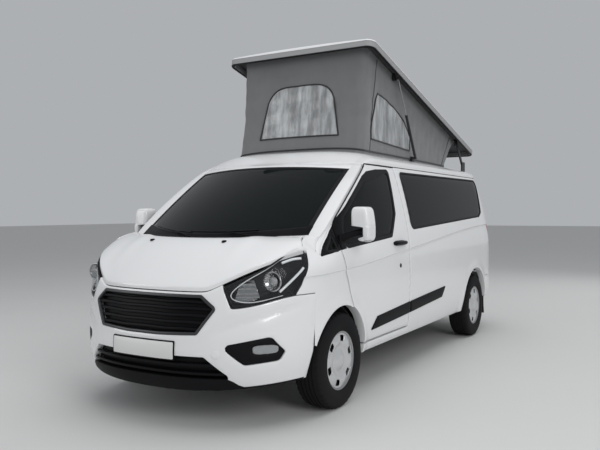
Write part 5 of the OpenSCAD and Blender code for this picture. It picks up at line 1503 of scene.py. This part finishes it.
        a, b = 60 - 25.5 * np.sin(math.pi * t) ** 0.5, np.linspace(58, 71, 40)
        bars = ((a, mix(lines.lamp_low(a) + 15, lines.lamp_high(a) - 15, ease(t)), 3.5),
                (b, lines.lamp_high(b) - mix(40, 72, t), 9),
                (b, mix(lines.lamp_low(b[:1]) + 44, lines.lamp_high(b[-1:]) - 132, t), 9))
        guides = [tube(f.nose(at_a, at_z, np.full(40, 13.0)), r, 10) for at_a, at_z, r in bars]
        add(f"lamp_guide_{tag}", mirrored(*joined(guides), side), "guide", BODY)

    def dish(self, p: Array, r: float) -> Shape:
        """Open bowl facing forward: depth grows as the square of the distance from the rim."""
        u, k = np.meshgrid(np.linspace(0, 1, 10), turn(32), indexing="ij")
        g = pairs(p[0] - 34 * (1 - u * u), p[1] + r * u * np.cos(k) * 0.96, p[2] + r * u * np.sin(k))
        back = g[::-1] - [4, 0, 0]
        return capped(np.concatenate([g[1:], back[:-1]])[:, ::-1])

    def plate_and_frame(self) -> None:
        """Blank plate in a dark frame, bent with the nose."""
        f = self.shop.form
        w, h, z = self.plate
        at = lambda y, zz, d: f.nose(f.nose_angle(y, zz), zz, d)
        self.shop.skin("plate_frame", lowered(at, -7), box(w + 18, h + 18, z, 8), "satin", 30, 4, 60)
        self.shop.skin("plate_front", lowered(at, -9), box(w, h, z, 8), "plate", 4, 1.5, 60)

    def bonnet(self) -> None:
        """Bonnet with its washer jets; its rear corners, which would swing into the windscreen, stay on the body."""
        f = self.shop.form
        cut = lambda u: 1 - 0.16 * (np.maximum(0, np.abs(u) - 0.72) / 0.28) ** 1.5
        u = np.linspace(1, -1, 61)
        slim = np.array([[1, 0.55], [0.988, 0.75]])
        out = np.concatenate([[[-1, 0], [1, 0]], slim, pairs(0.988 * u, cut(u)), slim[::-1] * [-1, 1]])
        v = np.linspace(0.79, 1, 15)
        rest = np.concatenate([pairs(v, cut(v) + 0.009), [[1, 1], [0.79, 1]]])
        size = (880, 560)
        for side in Side:
            self.shop.skin(f"cowl_corner_{side.tag}", f.bonnet, rest, "paint", 12, 3, 18, side=side, scale=size)
        self.shop.skin("bonnet_skin", f.bonnet, out, "paint", f.bonnet_t, 5, 26, body="bonnet_body", nodes=["bonnet"],
                       slot="paint", scale=size)
        spots = f.bonnet(np.array([-350, 350]) / (0.875 * f.half_w), np.full(2, 0.80), np.zeros(2))
        jets = [pad(p, (44, 30, 20), 2.6, 20) for p in spots]
        self.shop.add("washer_jets", joined(jets), "satin", "bonnet_body")


@dataclass
class Doors:
    """Front doors with glass, handles, locks and mirrors."""

    shop: Workshop
    lines: Outlines
    shell: BodyShell
    mirror_mid: tuple[float, float, float] = (1497, 1063, 1318)
    mirror_size: tuple[float, float, float] = (150, 146, 252)
    mirror_power: float = 5.5
    frame_w: float = 23
    grip: tuple[float, float, float] = (454, 246, 1139)
    lock: tuple[float, float, float] = (569, 947, 19)

    def build(self) -> None:
        """Makes the pieces."""
        f, lines, shell = self.shop.form, self.lines, self.shell
        for side in Side:
            tag = side.tag
            body = f"door_{tag}_body"
            window = lines.door_window()
            self.shop.on_side(f"door_skin_{tag}", side, 0, ring(lines.door(), f.door_gap)[1], "paint", f.door_t,
                              holes=[window], folds=f.creases(), body=body, nodes=[f"door_{tag}"], slot="paint")
            shell.pane(f"door_pane_{tag}", window, side, body, "glass", [f"door_{tag}_glass"], self.border())
            shell.handle(f"door_handle_{tag}", side, *self.grip, body)
            shell.rub(side, shell.rub_x[0], f.door_rear + f.door_gap, body, "door")
            self.sail(side, body)
            x, z, r = self.lock
            barrel = arc(x, z, r, 0, 360, 25)[:-1]
            self.shop.on_side(f"door_lock_{tag}", side, -2.5, barrel, "satin", 8, 2, 30, body=body)
            self.mirror(side, body)

    def border(self) -> Array:
        """Outer edge of the black border round the door's window."""
        f = self.shop.form
        front = f.pillar([0.36, 0.5, 0.65, 0.8, 0.9], f.frame_t + self.frame_w)
        rest = [f.spot(*p) for p in ((-0.2173, 0.8925), (-0.2748, 0.9058), (-0.3585, 0.9125), (-0.3365, 0.7135),
                                     (-0.2885, 0.613), (-0.03, 0.5835))]
        return rounded(np.concatenate([front, rest]), 0.018 * f.roof_h)

    def sail(self, side: Side, body: str) -> None:
        """Black corner panel ahead of the door's window, which carries the mirror."""
        f = self.shop.form
        near, far = f.frame_t + f.door_gap - 1.2, f.frame_t + 0.055 * f.half_w
        top = [f.pillar(v, mix(near, f.frame_t + self.frame_w, ease((v - 0.26) / 0.20)))
               for v in (0.235, 0.28, 0.34, 0.40, 0.46, 0.52, 0.58)]
        back = [f.pillar(0.58, far - 8), f.pillar(0.37, far + 4), f.spot(-0.034, 0.592), f.spot(-0.034, 0.586)]
        edge = self.lines.door_front()[0, 0] - f.door_gap + 1.2
        front = [[edge, 0.582 * f.roof_h], [edge, f.pillar(0.205, near)[1]]]
        out = rounded(np.concatenate([front, top, back]), 3, 3)
        self.shop.on_side(f"door_sail_{side.tag}", side, -2, out, "satin", 30, 2, 40, body=body)

    def mirror(self, side: Side, body: str) -> None:
        """Housing with a flat back, arm, glass and side repeater."""
        add = self.shop.add
        tag = side.tag
        c, s = np.array(self.mirror_mid, float), np.array(self.mirror_size, float)
        power = self.mirror_power
        lean = lambda y, z: y - 0.22 * np.maximum(0, (z - c[2]) / s[2]) * (y - c[1] + s[1] / 2)
        k, a = np.meshgrid(np.linspace(-0.997, 0.997, 80), turn(64), indexing="ij")
        r = (1 - np.abs(k) ** power) ** (1 / power)
        v = c + s / 2 * pairs(r * curl(np.cos(a), 2 / power), r * curl(np.sin(a), 2 / power), k)
        low = 0.5 - 0.5 * k
        slim = 0.66 * ease((low - 0.55) / 0.05) * (1 - 0.5 * ease((low - 0.86) / 0.06))
        v[..., 1] = lean(v[..., 1] + slim * (c[1] + s[1] / 2 - v[..., 1]), v[..., 2])
        back = c[0] - 0.36 * s[0]
        v[..., 0] = np.maximum(v[..., 0], back)
        add(f"mirror_cap_{tag}", mirrored(*capped(v), side), "paint", body, [f"mirror_{tag}"], "paint")
        t = turn(40)
        y = c[1] + 0.42 * s[1] * curl(np.cos(t), 0.6)
        z = c[2] + 0.235 * s[2] * (1 + curl(np.sin(t), 0.6)) - 0.02 * s[2]
        flat = lambda p, q, d: pairs(back - 3 + d, p, q)
        self.shop.skin(f"mirror_glass_{tag}", flat, pairs(lean(y, z), z), "mirror", 6, 2, 40, side=side, body=body,
                       outward=-1)
        foot = self.shop.form.side_y(1560.0, 1190.0)
        k = np.linspace(0, 1, 20)
        path = pairs(mix(1580, c[0] + 4, k), mix(foot - 6, c[1] + 30, k),
                     mix(1212, c[2] - 0.20 * s[2], k) + 8 * np.sin(math.pi * k))
        base = pad((1575, foot - 4, 1205), (105, 30, 90), 3, 28)
        arm = joined([tube(path, 30 - 5 * np.sin(math.pi * k), 14), base])
        add(f"mirror_arm_{tag}", mirrored(*arm, side), "black", body, slot="black_plastic")
        lens = pad((c[0] + 0.20 * s[0], c[1] + 0.34 * s[1], c[2] - 0.485 * s[2]), (64, 44, 16), 3, 24)
        add(f"mirror_repeater_{tag}", mirrored(*lens, side), "frost", body)


@dataclass
class Tail:
    """Tailgate, rear bumper and tail lamps."""

    shop: Workshop
    lines: Outlines
    plate: tuple[float, float, float] = (520, 110, 905)
    grip: tuple[float, float, float, float] = (420, 34, 1008, 15)
    step_z: tuple[float, float] = (540, 625)

    def corner(self, a: Array, z: Array, d: Array) -> Array:
        """Tail surface by plan angle in degrees from straight back."""
        f = self.shop.form
        r = np.radians(a)
        c = np.maximum(0, np.cos(r)) ** (2 / f.tail_power)
        s = np.abs(np.sin(r)) ** (2 / f.tail_power)
        x = f.tail_start + (f.tail_tip(z) + d - f.tail_start) * c
        return pairs(x, np.sign(a) * (f.section(z) - d) * s, z)

    def build(self) -> None:
        """Makes the pieces."""
        f, lines, on_gate = self.shop.form, self.lines, self.on_gate
        _, gate = ring(lines.gate(), f.door_gap)
        window = lines.gate_window()
        on_gate("gate_skin", 0, gate, "paint", f.wall_t, holes=[window], nodes=["tailgate"], slot="paint")
        on_gate("gate_pane", f.glass_in, ring(window, 1.5)[1], "dark_glass", f.glass_t, 1, 60, nodes=["tailgate_glass"],
                slot="glass")
        out, inn = ring(window, 14)
        on_gate("gate_seal", -1.5, inset(out, -4, np.ones(2)), "rubber", 14, 3, 60, [inn])
        w, h, z = self.plate
        on_gate("gate_recess", -3, box(w + 18, h + 18, z, 14), "satin", 8, 3, 50)
        on_gate("plate_rear", -5, box(w, h, z, 8), "plate", 6, 2, 60)
        on_gate("gate_grip", -16, box(*self.grip), "black", 22, 8, 40)
        self.wiper()
        tip = 0.066 * f.rear_overhang

        def bumper(a: Array, z: Array, d: Array) -> Array:
            """Bumper's outer face, which stands out behind the tail."""
            return self.corner(a, z, d) - pairs(tip * np.cos(np.radians(0.9 * a)), 0, 0)

        a = np.linspace(-87, 87, 61)
        low = 0.18 * f.roof_h + 40 * ease((np.abs(a) - 55) / 30)
        self.shop.skin("rear_bumper_skin", bumper, between(a, low, f.gate_low - f.door_gap), "paint", f.bumper_t, 8,
                       nodes=["bumper_rear"], slot="paint", scale=(14, 1), outward=-1)
        step = between(np.linspace(-52, 52, 41), *self.step_z)
        self.shop.skin("rear_bumper_pad", lowered(bumper, -5), step, "black", 9, 4, 50, scale=(14, 1), outward=-1)
        self.header()
        for side in Side:
            self.lamp(side)
            self.post(side)

    def on_gate(self, name: str, depth: float, outline: Array, *rest: Any, **how: Any) -> None:
        """A skin on the tailgate, at a depth below its outer face."""
        at = lowered(self.shop.form.tail, depth)
        self.shop.skin(name, at, outline, *rest, body="tailgate_body", outward=-1, **how)

    def header(self) -> None:
        """End of the roof above the tailgate: straight lines from the roof's rear edge down to the opening's top."""
        f = self.shop.form
        a, t = np.meshgrid(np.linspace(-89.5, 89.5, 121), np.linspace(0, 1, 8), indexing="ij")
        wide = f.side_y(0.0, f.rail_z) * np.abs(np.sin(np.radians(a))) ** (2 / f.roof_power)
        top = f.roof(f.roof_rear(wide) + 5, a, np.full(a.shape, 2.5))
        y = top[..., 1]
        low = f.gate_high + 3 - 15 * ease((np.abs(y) - 545) / 35)
        foot = f.tail(y, np.minimum(low, top[..., 2] - 1), np.zeros(y.shape))
        wall = mix(top, foot, t[..., None]) + (9 * np.sin(math.pi * t))[..., None] * np.array([-0.9, 0, 0.4])
        self.shop.add("roof_tail", slab(wall, [12, 0, -5]), "paint", BODY)

    def post(self, side: Side) -> None:
        """Body corner beside the tailgate's slanted top corner."""
        f = self.shop.form
        gate = self.lines.gate()
        z0, z1, y = 0.822 * f.roof_h, f.rail_z - 3, f.gate_half + f.door_gap - 1
        edge = gate[(gate[:, 0] > 0) & (gate[:, 1] > z0) & (gate[:, 1] < z1)]
        edge = edge[np.argsort(edge[:, 1])]
        out = np.concatenate([[[y, z0]], edge, [[edge[-1, 0] - 20, z1], [y, z1]]])
        self.shop.skin(f"rear_post_{side.tag}", f.tail, out, "paint", 22, 1, 26, side=side, outward=-1)

    def wiper(self) -> None:
        """Rear wiper resting along the window's lower edge."""
        f = self.shop.form
        t = np.linspace(0, 1, 24)
        y, z = mix(30, -430, t), mix(1215, 1285, t)
        arm = tube(f.tail(y, z, -14 - 8 * np.sin(math.pi * t)), 8 - 3 * t, 8)
        hub = pad(f.tail(np.array([30.0]), np.array([1215.0]), np.array([-8.0]))[0], (30, 56, 56), 2.4, 20)
        self.shop.add("rear_wiper", joined([arm, hub]), "satin", "tailgate_body")

    def lamp(self, side: Side) -> None:
        """Tail lamp at the corner: red, clear and red lenses one above the other."""
        f = self.shop.form
        z0, z1 = 0.44 * f.roof_h + 4, 0.70 * f.roof_h - 4
        y = f.gate_half + f.door_gap + 4
        x = f.tail_start - 0.42 * f.rear_overhang - 4
        bands = ((0, 0.36, "red"), (0.37, 0.60, "frost"), (0.61, 1, "red"))
        for k, (b0, b1, finish) in enumerate(bands):
            z = np.linspace(mix(z0, z1, b0), mix(z0, z1, b1), 9)
            a0 = np.degrees(np.arcsin((y / f.section(z)) ** (f.tail_power / 2)))
            share = (f.tail_start - x) / (f.tail_start - f.tail_tip(z))
            a1 = np.degrees(np.arccos(np.clip(share, 0, 1) ** (f.tail_power / 2)))
            out = between(z, a0, a1)[:, ::-1]
            self.shop.skin(f"tail_lens_{side.tag}_{k}", lowered(self.corner, -2), out, finish, 40, 5, 22, side=side,
                           nodes=[] if k else ["tail_lamps"], slot="lamp_red" if finish == "red" else "lamp_clear",
                           scale=(16, 1), outward=-1)


@dataclass
class Wheels:
    """Tyres with tread, rims and wheel covers with rounded slots."""

    shop: Workshop
    slots: int = 6
    steps: int = 168
    grooves: tuple[float, ...] = (-46, -15, 15, 46)
    groove: float = 7

    def build(self) -> None:
        """Makes the pieces."""
        f = self.shop.form
        for end, x in (("front", f.axle_f), ("rear", f.axle_r)):
            for side in Side:
                tag = f"{end}_{side.tag}"
                body = f"{end}_{side.tag}_wheel"
                self.tyre(tag, x, side, body)
                self.rim(tag, x, side, body)

    def tyre(self, tag: str, x: float, side: Side, body: str) -> None:
        """Tyre: a profile turned about the axle, with grooves round it and blocks cut across the shoulders."""
        f = self.shop.form
        w, r = f.tyre_w / 2, f.wheel_r
        wall = [(204, -0.80 * w), (212, -0.92 * w), (236, -0.985 * w), (270, -w), (300, -0.975 * w), (320, -0.93 * w),
                (333, -0.87 * w)]
        tread = [(r - 6, -0.80 * w), (r - 2.5, -0.70 * w)]
        for g in self.grooves:
            tread += [(r - 1, g - 5), (r - self.groove, g - 3.5), (r - self.groove, g + 3.5), (r - 1, g + 5)]
        tread += [(r - 2.5, 0.70 * w), (r - 6, 0.80 * w)]
        bead = [(p, -h) for p, h in wall[::-1]]
        rr, hh = np.array(wall + tread + bead).T
        k = np.arange(self.steps)
        cut = ((k % 4) == 0)[:, None] & ((np.abs(hh) > 0.52 * w) & (rr > r - 20))[None]
        rad = rr[None] - 5.5 * cut
        ang = (2 * math.pi * k / self.steps)[:, None]
        g = pairs(x + rad * np.cos(ang), f.wheel_y + hh, f.wheel_r + rad * np.sin(ang))
        v, q = grid_faces(g, closed_u=True, closed_v=True)
        self.shop.add(f"tread_{tag}", mirrored(v, [q[:, ::-1]], side), "tyre", body, [f"tyre_{tag}"], "tyre_rubber", 34)

    def rim(self, tag: str, x: float, side: Side, body: str) -> None:
        """Steel rim, the cover over it, and a black disc behind the cover's slots, which is painted shade inside the
        wheel.
        """
        f = self.shop.form
        w = f.tyre_w / 2
        c = np.array([x, f.wheel_y, f.wheel_r])
        barrel = [(150, -60), (196, -86), (212, -93), (214, -90), (203, -80), (190, -30), (188, 40), (203, 84),
                  (214, 92), (212, 95), (196, 88), (180, 44), (60, 38), (60, 20), (178, 22), (180, -30), (150, -54)]
        shape = revolved(np.array(barrel), c, 72)
        self.shop.add(f"rim_{tag}", mirrored(*shape, side), "steel", body, slot="wheel_silver")
        first = math.radians(180 / self.slots + 12)

        def dome(p: Array, q: Array) -> Array:
            """Height of the cover: a rolled rim, a dished ring, six raised spokes and a hub cap."""
            r, wave = np.hypot(p, q), np.cos(self.slots * (np.arctan2(q, p) - first))
            hub = 6 * ease((62 - r) / 12) - 16 * np.exp(-(((r - 88) / 30) ** 2))
            return 84 + 9 * ease((206 - r) / 50) + hub - 5 * wave * np.exp(-(((r - 155) / 34) ** 2))

        at = lambda p, q, d: pairs(c[0] + p, c[1] + np.minimum(dome(p, q), w) - d, c[2] + q)
        holes = []
        for i in range(self.slots):
            mid = 360 * (i + 0.5) / self.slots + 12
            outer, inner = arc(0, 0, 181, mid - 10, mid + 10, 4), arc(0, 0, 138, mid + 10, mid - 10, 3)
            holes.append(rounded(np.concatenate([outer, inner]), 15, 4))
        out = arc(0, 0, 207, 0, 360, 97)[:-1]
        cover = panel(at, out, holes, 5, 4, 13, outward=-1)
        self.shop.add(f"cover_{tag}", mirrored(*cover, side), "silver", body, [f"wheel_{tag}"], "wheel_silver")
        # Black disc behind the cover's slots: painted shade for the dark inside of the wheel.
        shade = revolved(np.array([(186, 60), (186, 64), (186, 66), (120, 66), (6, 66), (6, 60)]), c, 48)
        self.shop.add(f"cover_back_{tag}", mirrored(*shade, side), "rubber", body)


@dataclass
class PopRoof:
    """Raised roof shell, its lugs, and the tent under it."""

    shop: Workshop
    corner_r: float = 76
    tent_half: float = 655
    tent_x: tuple[float, float] = (665, -1534)
    tent_s: tuple[float, float] = (0.035, 0.8645)

    def build(self) -> None:
        """Makes the pieces."""
        f = self.shop.form
        rect = lambda k: rounded([(k, -f.shell_half + k), (k, f.shell_half - k), (f.shell_l - k, f.shell_half - k),
                                  (f.shell_l - k, -f.shell_half + k)], self.corner_r, 8)
        for name, depth, out, finish, *rest, nodes in (
            ("top", 0, 0, "paint", f.shell_t - 1, 12, 60, (), ["pop_roof"]),
            # The shell's lower edge and underside are grey: painted shade under the white shell.
            ("rim", 24, 2, "rim", f.shell_rim - 24, 5, 60, [rect(30)], ()),
            ("lining", f.shell_t, 31, "trim", 3, 1, 90, (), ()),
            ("seal", f.shell_rim, 5, "rubber", 7, 3, 60, [rect(24)], ()),
        ):
            self.shop.skin(f"shell_{name}", lowered(f.shell, depth), rect(out), finish, *rest, body="roof_body",
                           nodes=nodes, slot="paint" if nodes else "", outward=-1)
        self.lugs()
        self.tent()

    def lugs(self) -> None:
        """Plates under the shell that take the arms' and struts' pins."""
        f = self.shop.form
        parts = []
        eye = f.shell(np.array([0.235 * f.shell_l]), np.array([0.0]), np.array([f.shell_rim + 4.0]))[0]
        for y in (-1, 1):
            p, q = np.array([eye[0], y * 660, eye[2]]), np.array([eye[0], y * 722, eye[2]])
            parts.append(rod(p, q, 6))
            parts.append(pad(eye + [4, y * 668, 26], (52, 26, 76), 5, 28))
            parts.append(pad((-1815, y * 690, 2206), (96, 18, 86), 5, 28))
        self.shop.add("shell_lugs", joined(parts), "arm", "roof_body")

    def loop(self, x0: float, x1: float, r: float, n: int) -> Array:
        """Rounded rectangle round the tent, counter-clockwise from the front's middle, n points by length."""
        h = self.tent_half
        p = rounded([(x0, h), (x1, h), (x1, -h), (x0, -h)], r, 10)
        p = np.concatenate([[(x0, 0)], p, [(x0, 0)]])
        s = np.concatenate([[0], np.cumsum(np.linalg.norm(np.diff(p, axis=0), axis=1))])
        t = np.linspace(0, s[-1], n, endpoint=False)
        return pairs(np.interp(t, s, p[:, 0]), np.interp(t, s, p[:, 1]))

    def cloth(self, i: Array, v: Array) -> Array:
        """Tent wall: straight lines from the roof up to the shell, drawn in between and pleated.

        Args:
            i: place round the tent, from 0 to 1.
            v: place up the wall, from 0 to 1.

        Returns:
            Points on the cloth.
        """
        f = self.shop.form
        n = 720
        low = self.loop(*self.tent_x, 60, n)
        top_x = [float(f.shell(np.array([s * f.shell_l]), np.array([0.0]), np.array([f.shell_t + 2.0]))[0, 0])
                 for s in self.tent_s]
        high = self.loop(top_x[0], top_x[1], 60, n)
        k = np.mod(i, 1) * n
        read = lambda p: np.stack([np.interp(k, np.arange(n + 1), np.append(p[:, c], p[0, c])) for c in (0, 1)], -1)
        a, b = read(low), read(high)
        za = f.roof_top(a[..., 0], a[..., 1]) - 2
        s = (f.shell_front[0] - b[..., 0]) / f.tilt_dir[0]
        zb = f.shell_front[1] - s * f.tilt_dir[1] - (f.shell_t + 3) / f.tilt_up[1]
        p = np.concatenate([mix(a, b, v[..., None]), mix(za, zb, v)[..., None]], -1)
        high_share = np.clip((zb - za) / 900, 0.2, 1)
        middle = 0.5 * (top_x[0] + top_x[1])
        out = pairs(b[..., 0] - middle, b[..., 1]) / [0.5 * (top_x[0] - top_x[1]), self.tent_half]
        way = unit(curl(out, 9))
        belly = np.sin(math.pi * v)
        wave = lambda turns: np.sin(2 * math.pi * turns)
        pleat = 0.5 * wave(29 * i + 0.35 * np.sin(5 * v)) + 0.35 * wave(53 * i + 1.1 * v + 0.3)
        drag = 0.55 * wave(3.5 * v + 6 * i) + 0.4 * wave(6.5 * v - 9 * i + 0.2)
        push = belly * (-13 * high_share + 4.5 * pleat + 4.0 * drag * high_share) - 3
        p[..., :2] += way * push[..., None]
        return p

    def tent(self) -> None:
        """Tent, its three windows and the piping round them."""
        nu, nv = 420, 44
        i, v = np.meshgrid(np.arange(nu) / nu, np.linspace(0, 1, nv), indexing="ij")
        p = self.cloth(i, v)
        du = np.roll(p, -1, 0) - np.roll(p, 1, 0)
        n = unit(np.cross(du, np.gradient(p, axis=1)))
        rows = np.concatenate([p + 1.0 * n, (p - 1.0 * n)[:, ::-1]], 1)
        vert, face = grid_faces(rows, closed_u=True, closed_v=True)
        tent = self.shop.add("tent_cloth", (vert, [face]), "canvas", BODY, ["tent"], "tent_fabric", 60)
        e1, e2 = p[1:, :-1] - p[:-1, :-1], p[:-1, 1:] - p[:-1, :-1]
        tall = float((p[..., 2].max() - p[..., 2].min())) * MM
        pieces = self.windows()
        pieces += self.seams()
        for o in [tent, *pieces]:
            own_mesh(o)

    def windows(self) -> list[bpy.types.Object]:
        """Foil windows: one in front with an arched top, one on each side with a sloping one."""
        made = []
        t = np.linspace(0, 1, 40)
        arch = 0.17 + 0.52 * bend(np.abs(2 * t - 1), 4.5)
        slope = 0.20 + 0.46 * bend(np.clip((t - 0.12) / 0.88, 0, 1), 2.3) * ease(0.35 + t / 0.12)
        places = (("front", -0.059, 0.059, arch), ("left", 0.116, 0.246, slope), ("right", 0.884, 0.754, slope))
        for name, i0, i1, high in places:
            v = mix(0.165, high[:, None], np.linspace(0, 1, 24)[None])
            lean = 1 - 0.17 * (v - 0.16) / 0.5 * (name == "front")
            i = mix(i0, i1, t)[:, None] * lean + 0 * v
            p = self.cloth(i, v)
            n = unit(np.cross(np.gradient(p, axis=0), np.gradient(p, axis=1))) * (1 if i1 > i0 else -1)
            rows = np.concatenate([p + 3.2 * n, (p + 2.0 * n)[:, ::-1]], 1)
            if i1 < i0:
                rows = rows[::-1]
            foil = capped(rows[:, ::-1])
            made.append(self.shop.add(f"tent_window_{name}", foil, "vinyl", BODY, (), "tent_fabric", 70))
            q = p + 3 * n
            edge = np.concatenate([q[:, 0], q[-1, 1:], q[-2::-1, -1], q[0, -2:0:-1]])
            made.append(self.shop.add(f"tent_piping_{name}", tube(edge, 7.5, 8, closed=True), "piping", BODY))
        return made

    def seams(self) -> list[bpy.types.Object]:
        """Piping along the tent's corners and its lower hem."""
        parts = []
        for i0 in (0.1145, 0.5 - 0.1145 + 0.004, 0.5 + 0.1145 - 0.004, 1 - 0.1145):
            v = np.linspace(0.02, 0.98, 40)
            parts.append(tube(self.cloth(np.full(40, i0), v), 5, 8))
        i = np.arange(300) / 300
        parts.append(tube(self.cloth(i, np.full(300, 0.03)) + [0, 0, 4], 9, 8, closed=True))
        return [self.shop.add("tent_hem", joined(parts), "piping", BODY)]


@dataclass
class Cabin:
    """Seats seen through the glass, and finishes of the part's own solids that stay in view."""

    shop: Workshop
    seat_x: float = 545
    seat_y: float = 417
    seat_z: float = 779
    seat_w: float = 500
    bench: tuple[float, float, float] = (-1006, -79, 1241)
    dress: dict[str, str] = field(default_factory=lambda: {
        "platform": "chassis", "engine": "engine", "front_suspension": "arm", "rear_axle": "arm", "exhaust": "steel",
        "fuel_tank": "chassis", "dashboard": "trim", "steering_wheel": "satin", "roof_brackets": "arm",
        "lift_arms": "arm", "strut_cylinders": "arm", "strut_rods": "steel", "knuckle_left": "engine",
        "knuckle_right": "engine"})

    def build(self, nodes: dict[str, bpy.types.Object]) -> None:
        """Makes the seats and dresses the solids."""
        for name, finish in self.dress.items():
            nodes[name].data.materials.clear()
            nodes[name].data.materials.append(self.shop.finish[finish])
        for tag, *place in (("left", self.seat_x, self.seat_y, self.seat_w),
                            ("right", self.seat_x, -self.seat_y, self.seat_w), ("bench", *self.bench)):
            self.seat(tag, *place)

    def seat(self, tag: str, x: float, y: float, w: float) -> None:
        """Cushion, leaning back rest and head rest on a plinth."""
        z = self.seat_z
        parts = [pad((x + 280, y, z - 65), (570, w, 150), 5, 48, 0.03)]
        v, faces = pad((x + 40, y, z + 300), (130, 0.96 * w, 660), 5, 48, 0.05)
        v[:, 0] -= 0.20 * (v[:, 2] - z)
        parts.append((v, faces))
        heads = 1 if w < 800 else 2
        for k in range(heads):
            yy = y + (k - (heads - 1) / 2) * 0.5 * w
            parts.append(pad((x - 120, yy, z + 730), (100, 250, 190), 3.2, 32))
            parts.append(rod((x - 112, yy - 50, z + 560), (x - 118, yy - 50, z + 690), 7))
            parts.append(rod((x - 112, yy + 50, z + 560), (x - 118, yy + 50, z + 690), 7))
        parts.append(pad((x + 260, y, z - 245), (430, 0.8 * w, 240), 8, 32))
        nodes = ["seats"] if tag == "left" else []
        obj = self.shop.add(f"seat_{tag}", joined(parts), "seat", BODY, nodes, "upholstery")


# ---- studio ----


@dataclass
class Studio:
    """Camera of the photo, pale floor and soft light."""

    eye: tuple[float, float, float] = (5.970, 3.179, 1.408)
    yaw: float = 210.668
    pitch: float = -1.12
    roll: float = -0.237
    lens: float = 40.655
    sky: float = 0.45
    floor: tuple[float, float, float] = (0.62, 0.62, 0.61)

    def build(self) -> None:
        """Makes the camera, floor, world and lights."""
        scene = bpy.context.scene
        scene.view_settings.view_transform = "Standard"
        scene.camera = self.camera()
        self.ground()
        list(self.lights())
        world = bpy.data.worlds.new("studio")
        world.use_nodes = True
        back = world.node_tree.nodes["Background"]
        back.inputs["Color"].default_value = (0.93, 0.96, 1.0, 1)
        back.inputs["Strength"].default_value = self.sky
        scene.world = world

    def camera(self) -> bpy.types.Object:
        """Camera solved from the photo."""
        y, p, r = (math.radians(a) for a in (self.yaw, self.pitch, self.roll))
        fw = Vector((math.cos(p) * math.cos(y), math.cos(p) * math.sin(y), math.sin(p)))
        right = Vector((math.sin(y), -math.cos(y), 0))
        up = right.cross(fw)
        turned = math.cos(r) * right + math.sin(r) * up
        top = turned.cross(fw)
        data = bpy.data.cameras.new("photo_camera")
        data.sensor_width, data.lens = 36, self.lens
        obj = bpy.data.objects.new("photo_camera", data)
        m = Matrix((turned, top, -fw)).transposed().to_4x4()
        m.translation = Vector(self.eye)
        obj.matrix_world = m
        bpy.context.scene.collection.objects.link(obj)
        return obj

    def ground(self) -> bpy.types.Object:
        """Pale floor with a faint unevenness in tone."""
        s = Shader("studio_floor")
        s.set(Base_Color=s.blend(s.noise(0.7, 4), tuple(c * 0.96 for c in self.floor), self.floor), Roughness=0.85)
        k = 60000
        v = np.array([[-k, -k, 0], [k, -k, 0], [k, k, 0], [-k, k, 0]], float)
        return add_mesh("studio_ground", v, [np.array([[0, 1, 2, 3]])], s.material)

    def lights(self) -> list[bpy.types.Object]:
        """Large soft lights: one overhead, a key and a fill in front, and a weak one from behind."""
        made = []
        for name, spot, aim, size, power in (
            ("overhead", (0.5, 1.0, 8.5), (0, 0, 0), 9.0, 330), ("key", (6.0, 8.4, 5.0), (0.3, 0, 1.0), 5.0, 310),
            ("fill", (8.0, -6.5, 3.5), (0.8, 0, 1.0), 5.0, 110), ("rear", (-8.0, 3.0, 4.5), (-1.0, 0, 1.0), 5.0, 90),
        ):
            data = bpy.data.lights.new(name, "AREA")
            data.shape, data.size, data.energy = "DISK", size, power
            obj = bpy.data.objects.new(name, data)
            obj.location = spot
            obj.rotation_euler = (Vector(aim) - Vector(spot)).to_track_quat("-Z", "Y").to_euler()
            obj.visible_glossy = name in ("key", "fill")
            bpy.context.scene.collection.objects.link(obj)
            made.append(obj)
        return made


def main() -> None:
    """Builds the scene and hands it to the frame."""
    logging.basicConfig(level=logging.INFO, format="%(name)s: %(message)s")
    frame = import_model()
    shop = Workshop(Form(), Finishes())
    lines = Outlines(shop.form)
    shell = BodyShell(shop, lines)
    shell.build()
    Nose(shop, lines).build()
    Doors(shop, lines, shell).build()
    Tail(shop, lines).build()
    Wheels(shop).build()
    PopRoof(shop).build()
    Cabin(shop).build(frame["nodes"])
    Studio().build()
    LOG.info("%d pieces", len(shop.made))


if __name__ == "__main__":
    main()
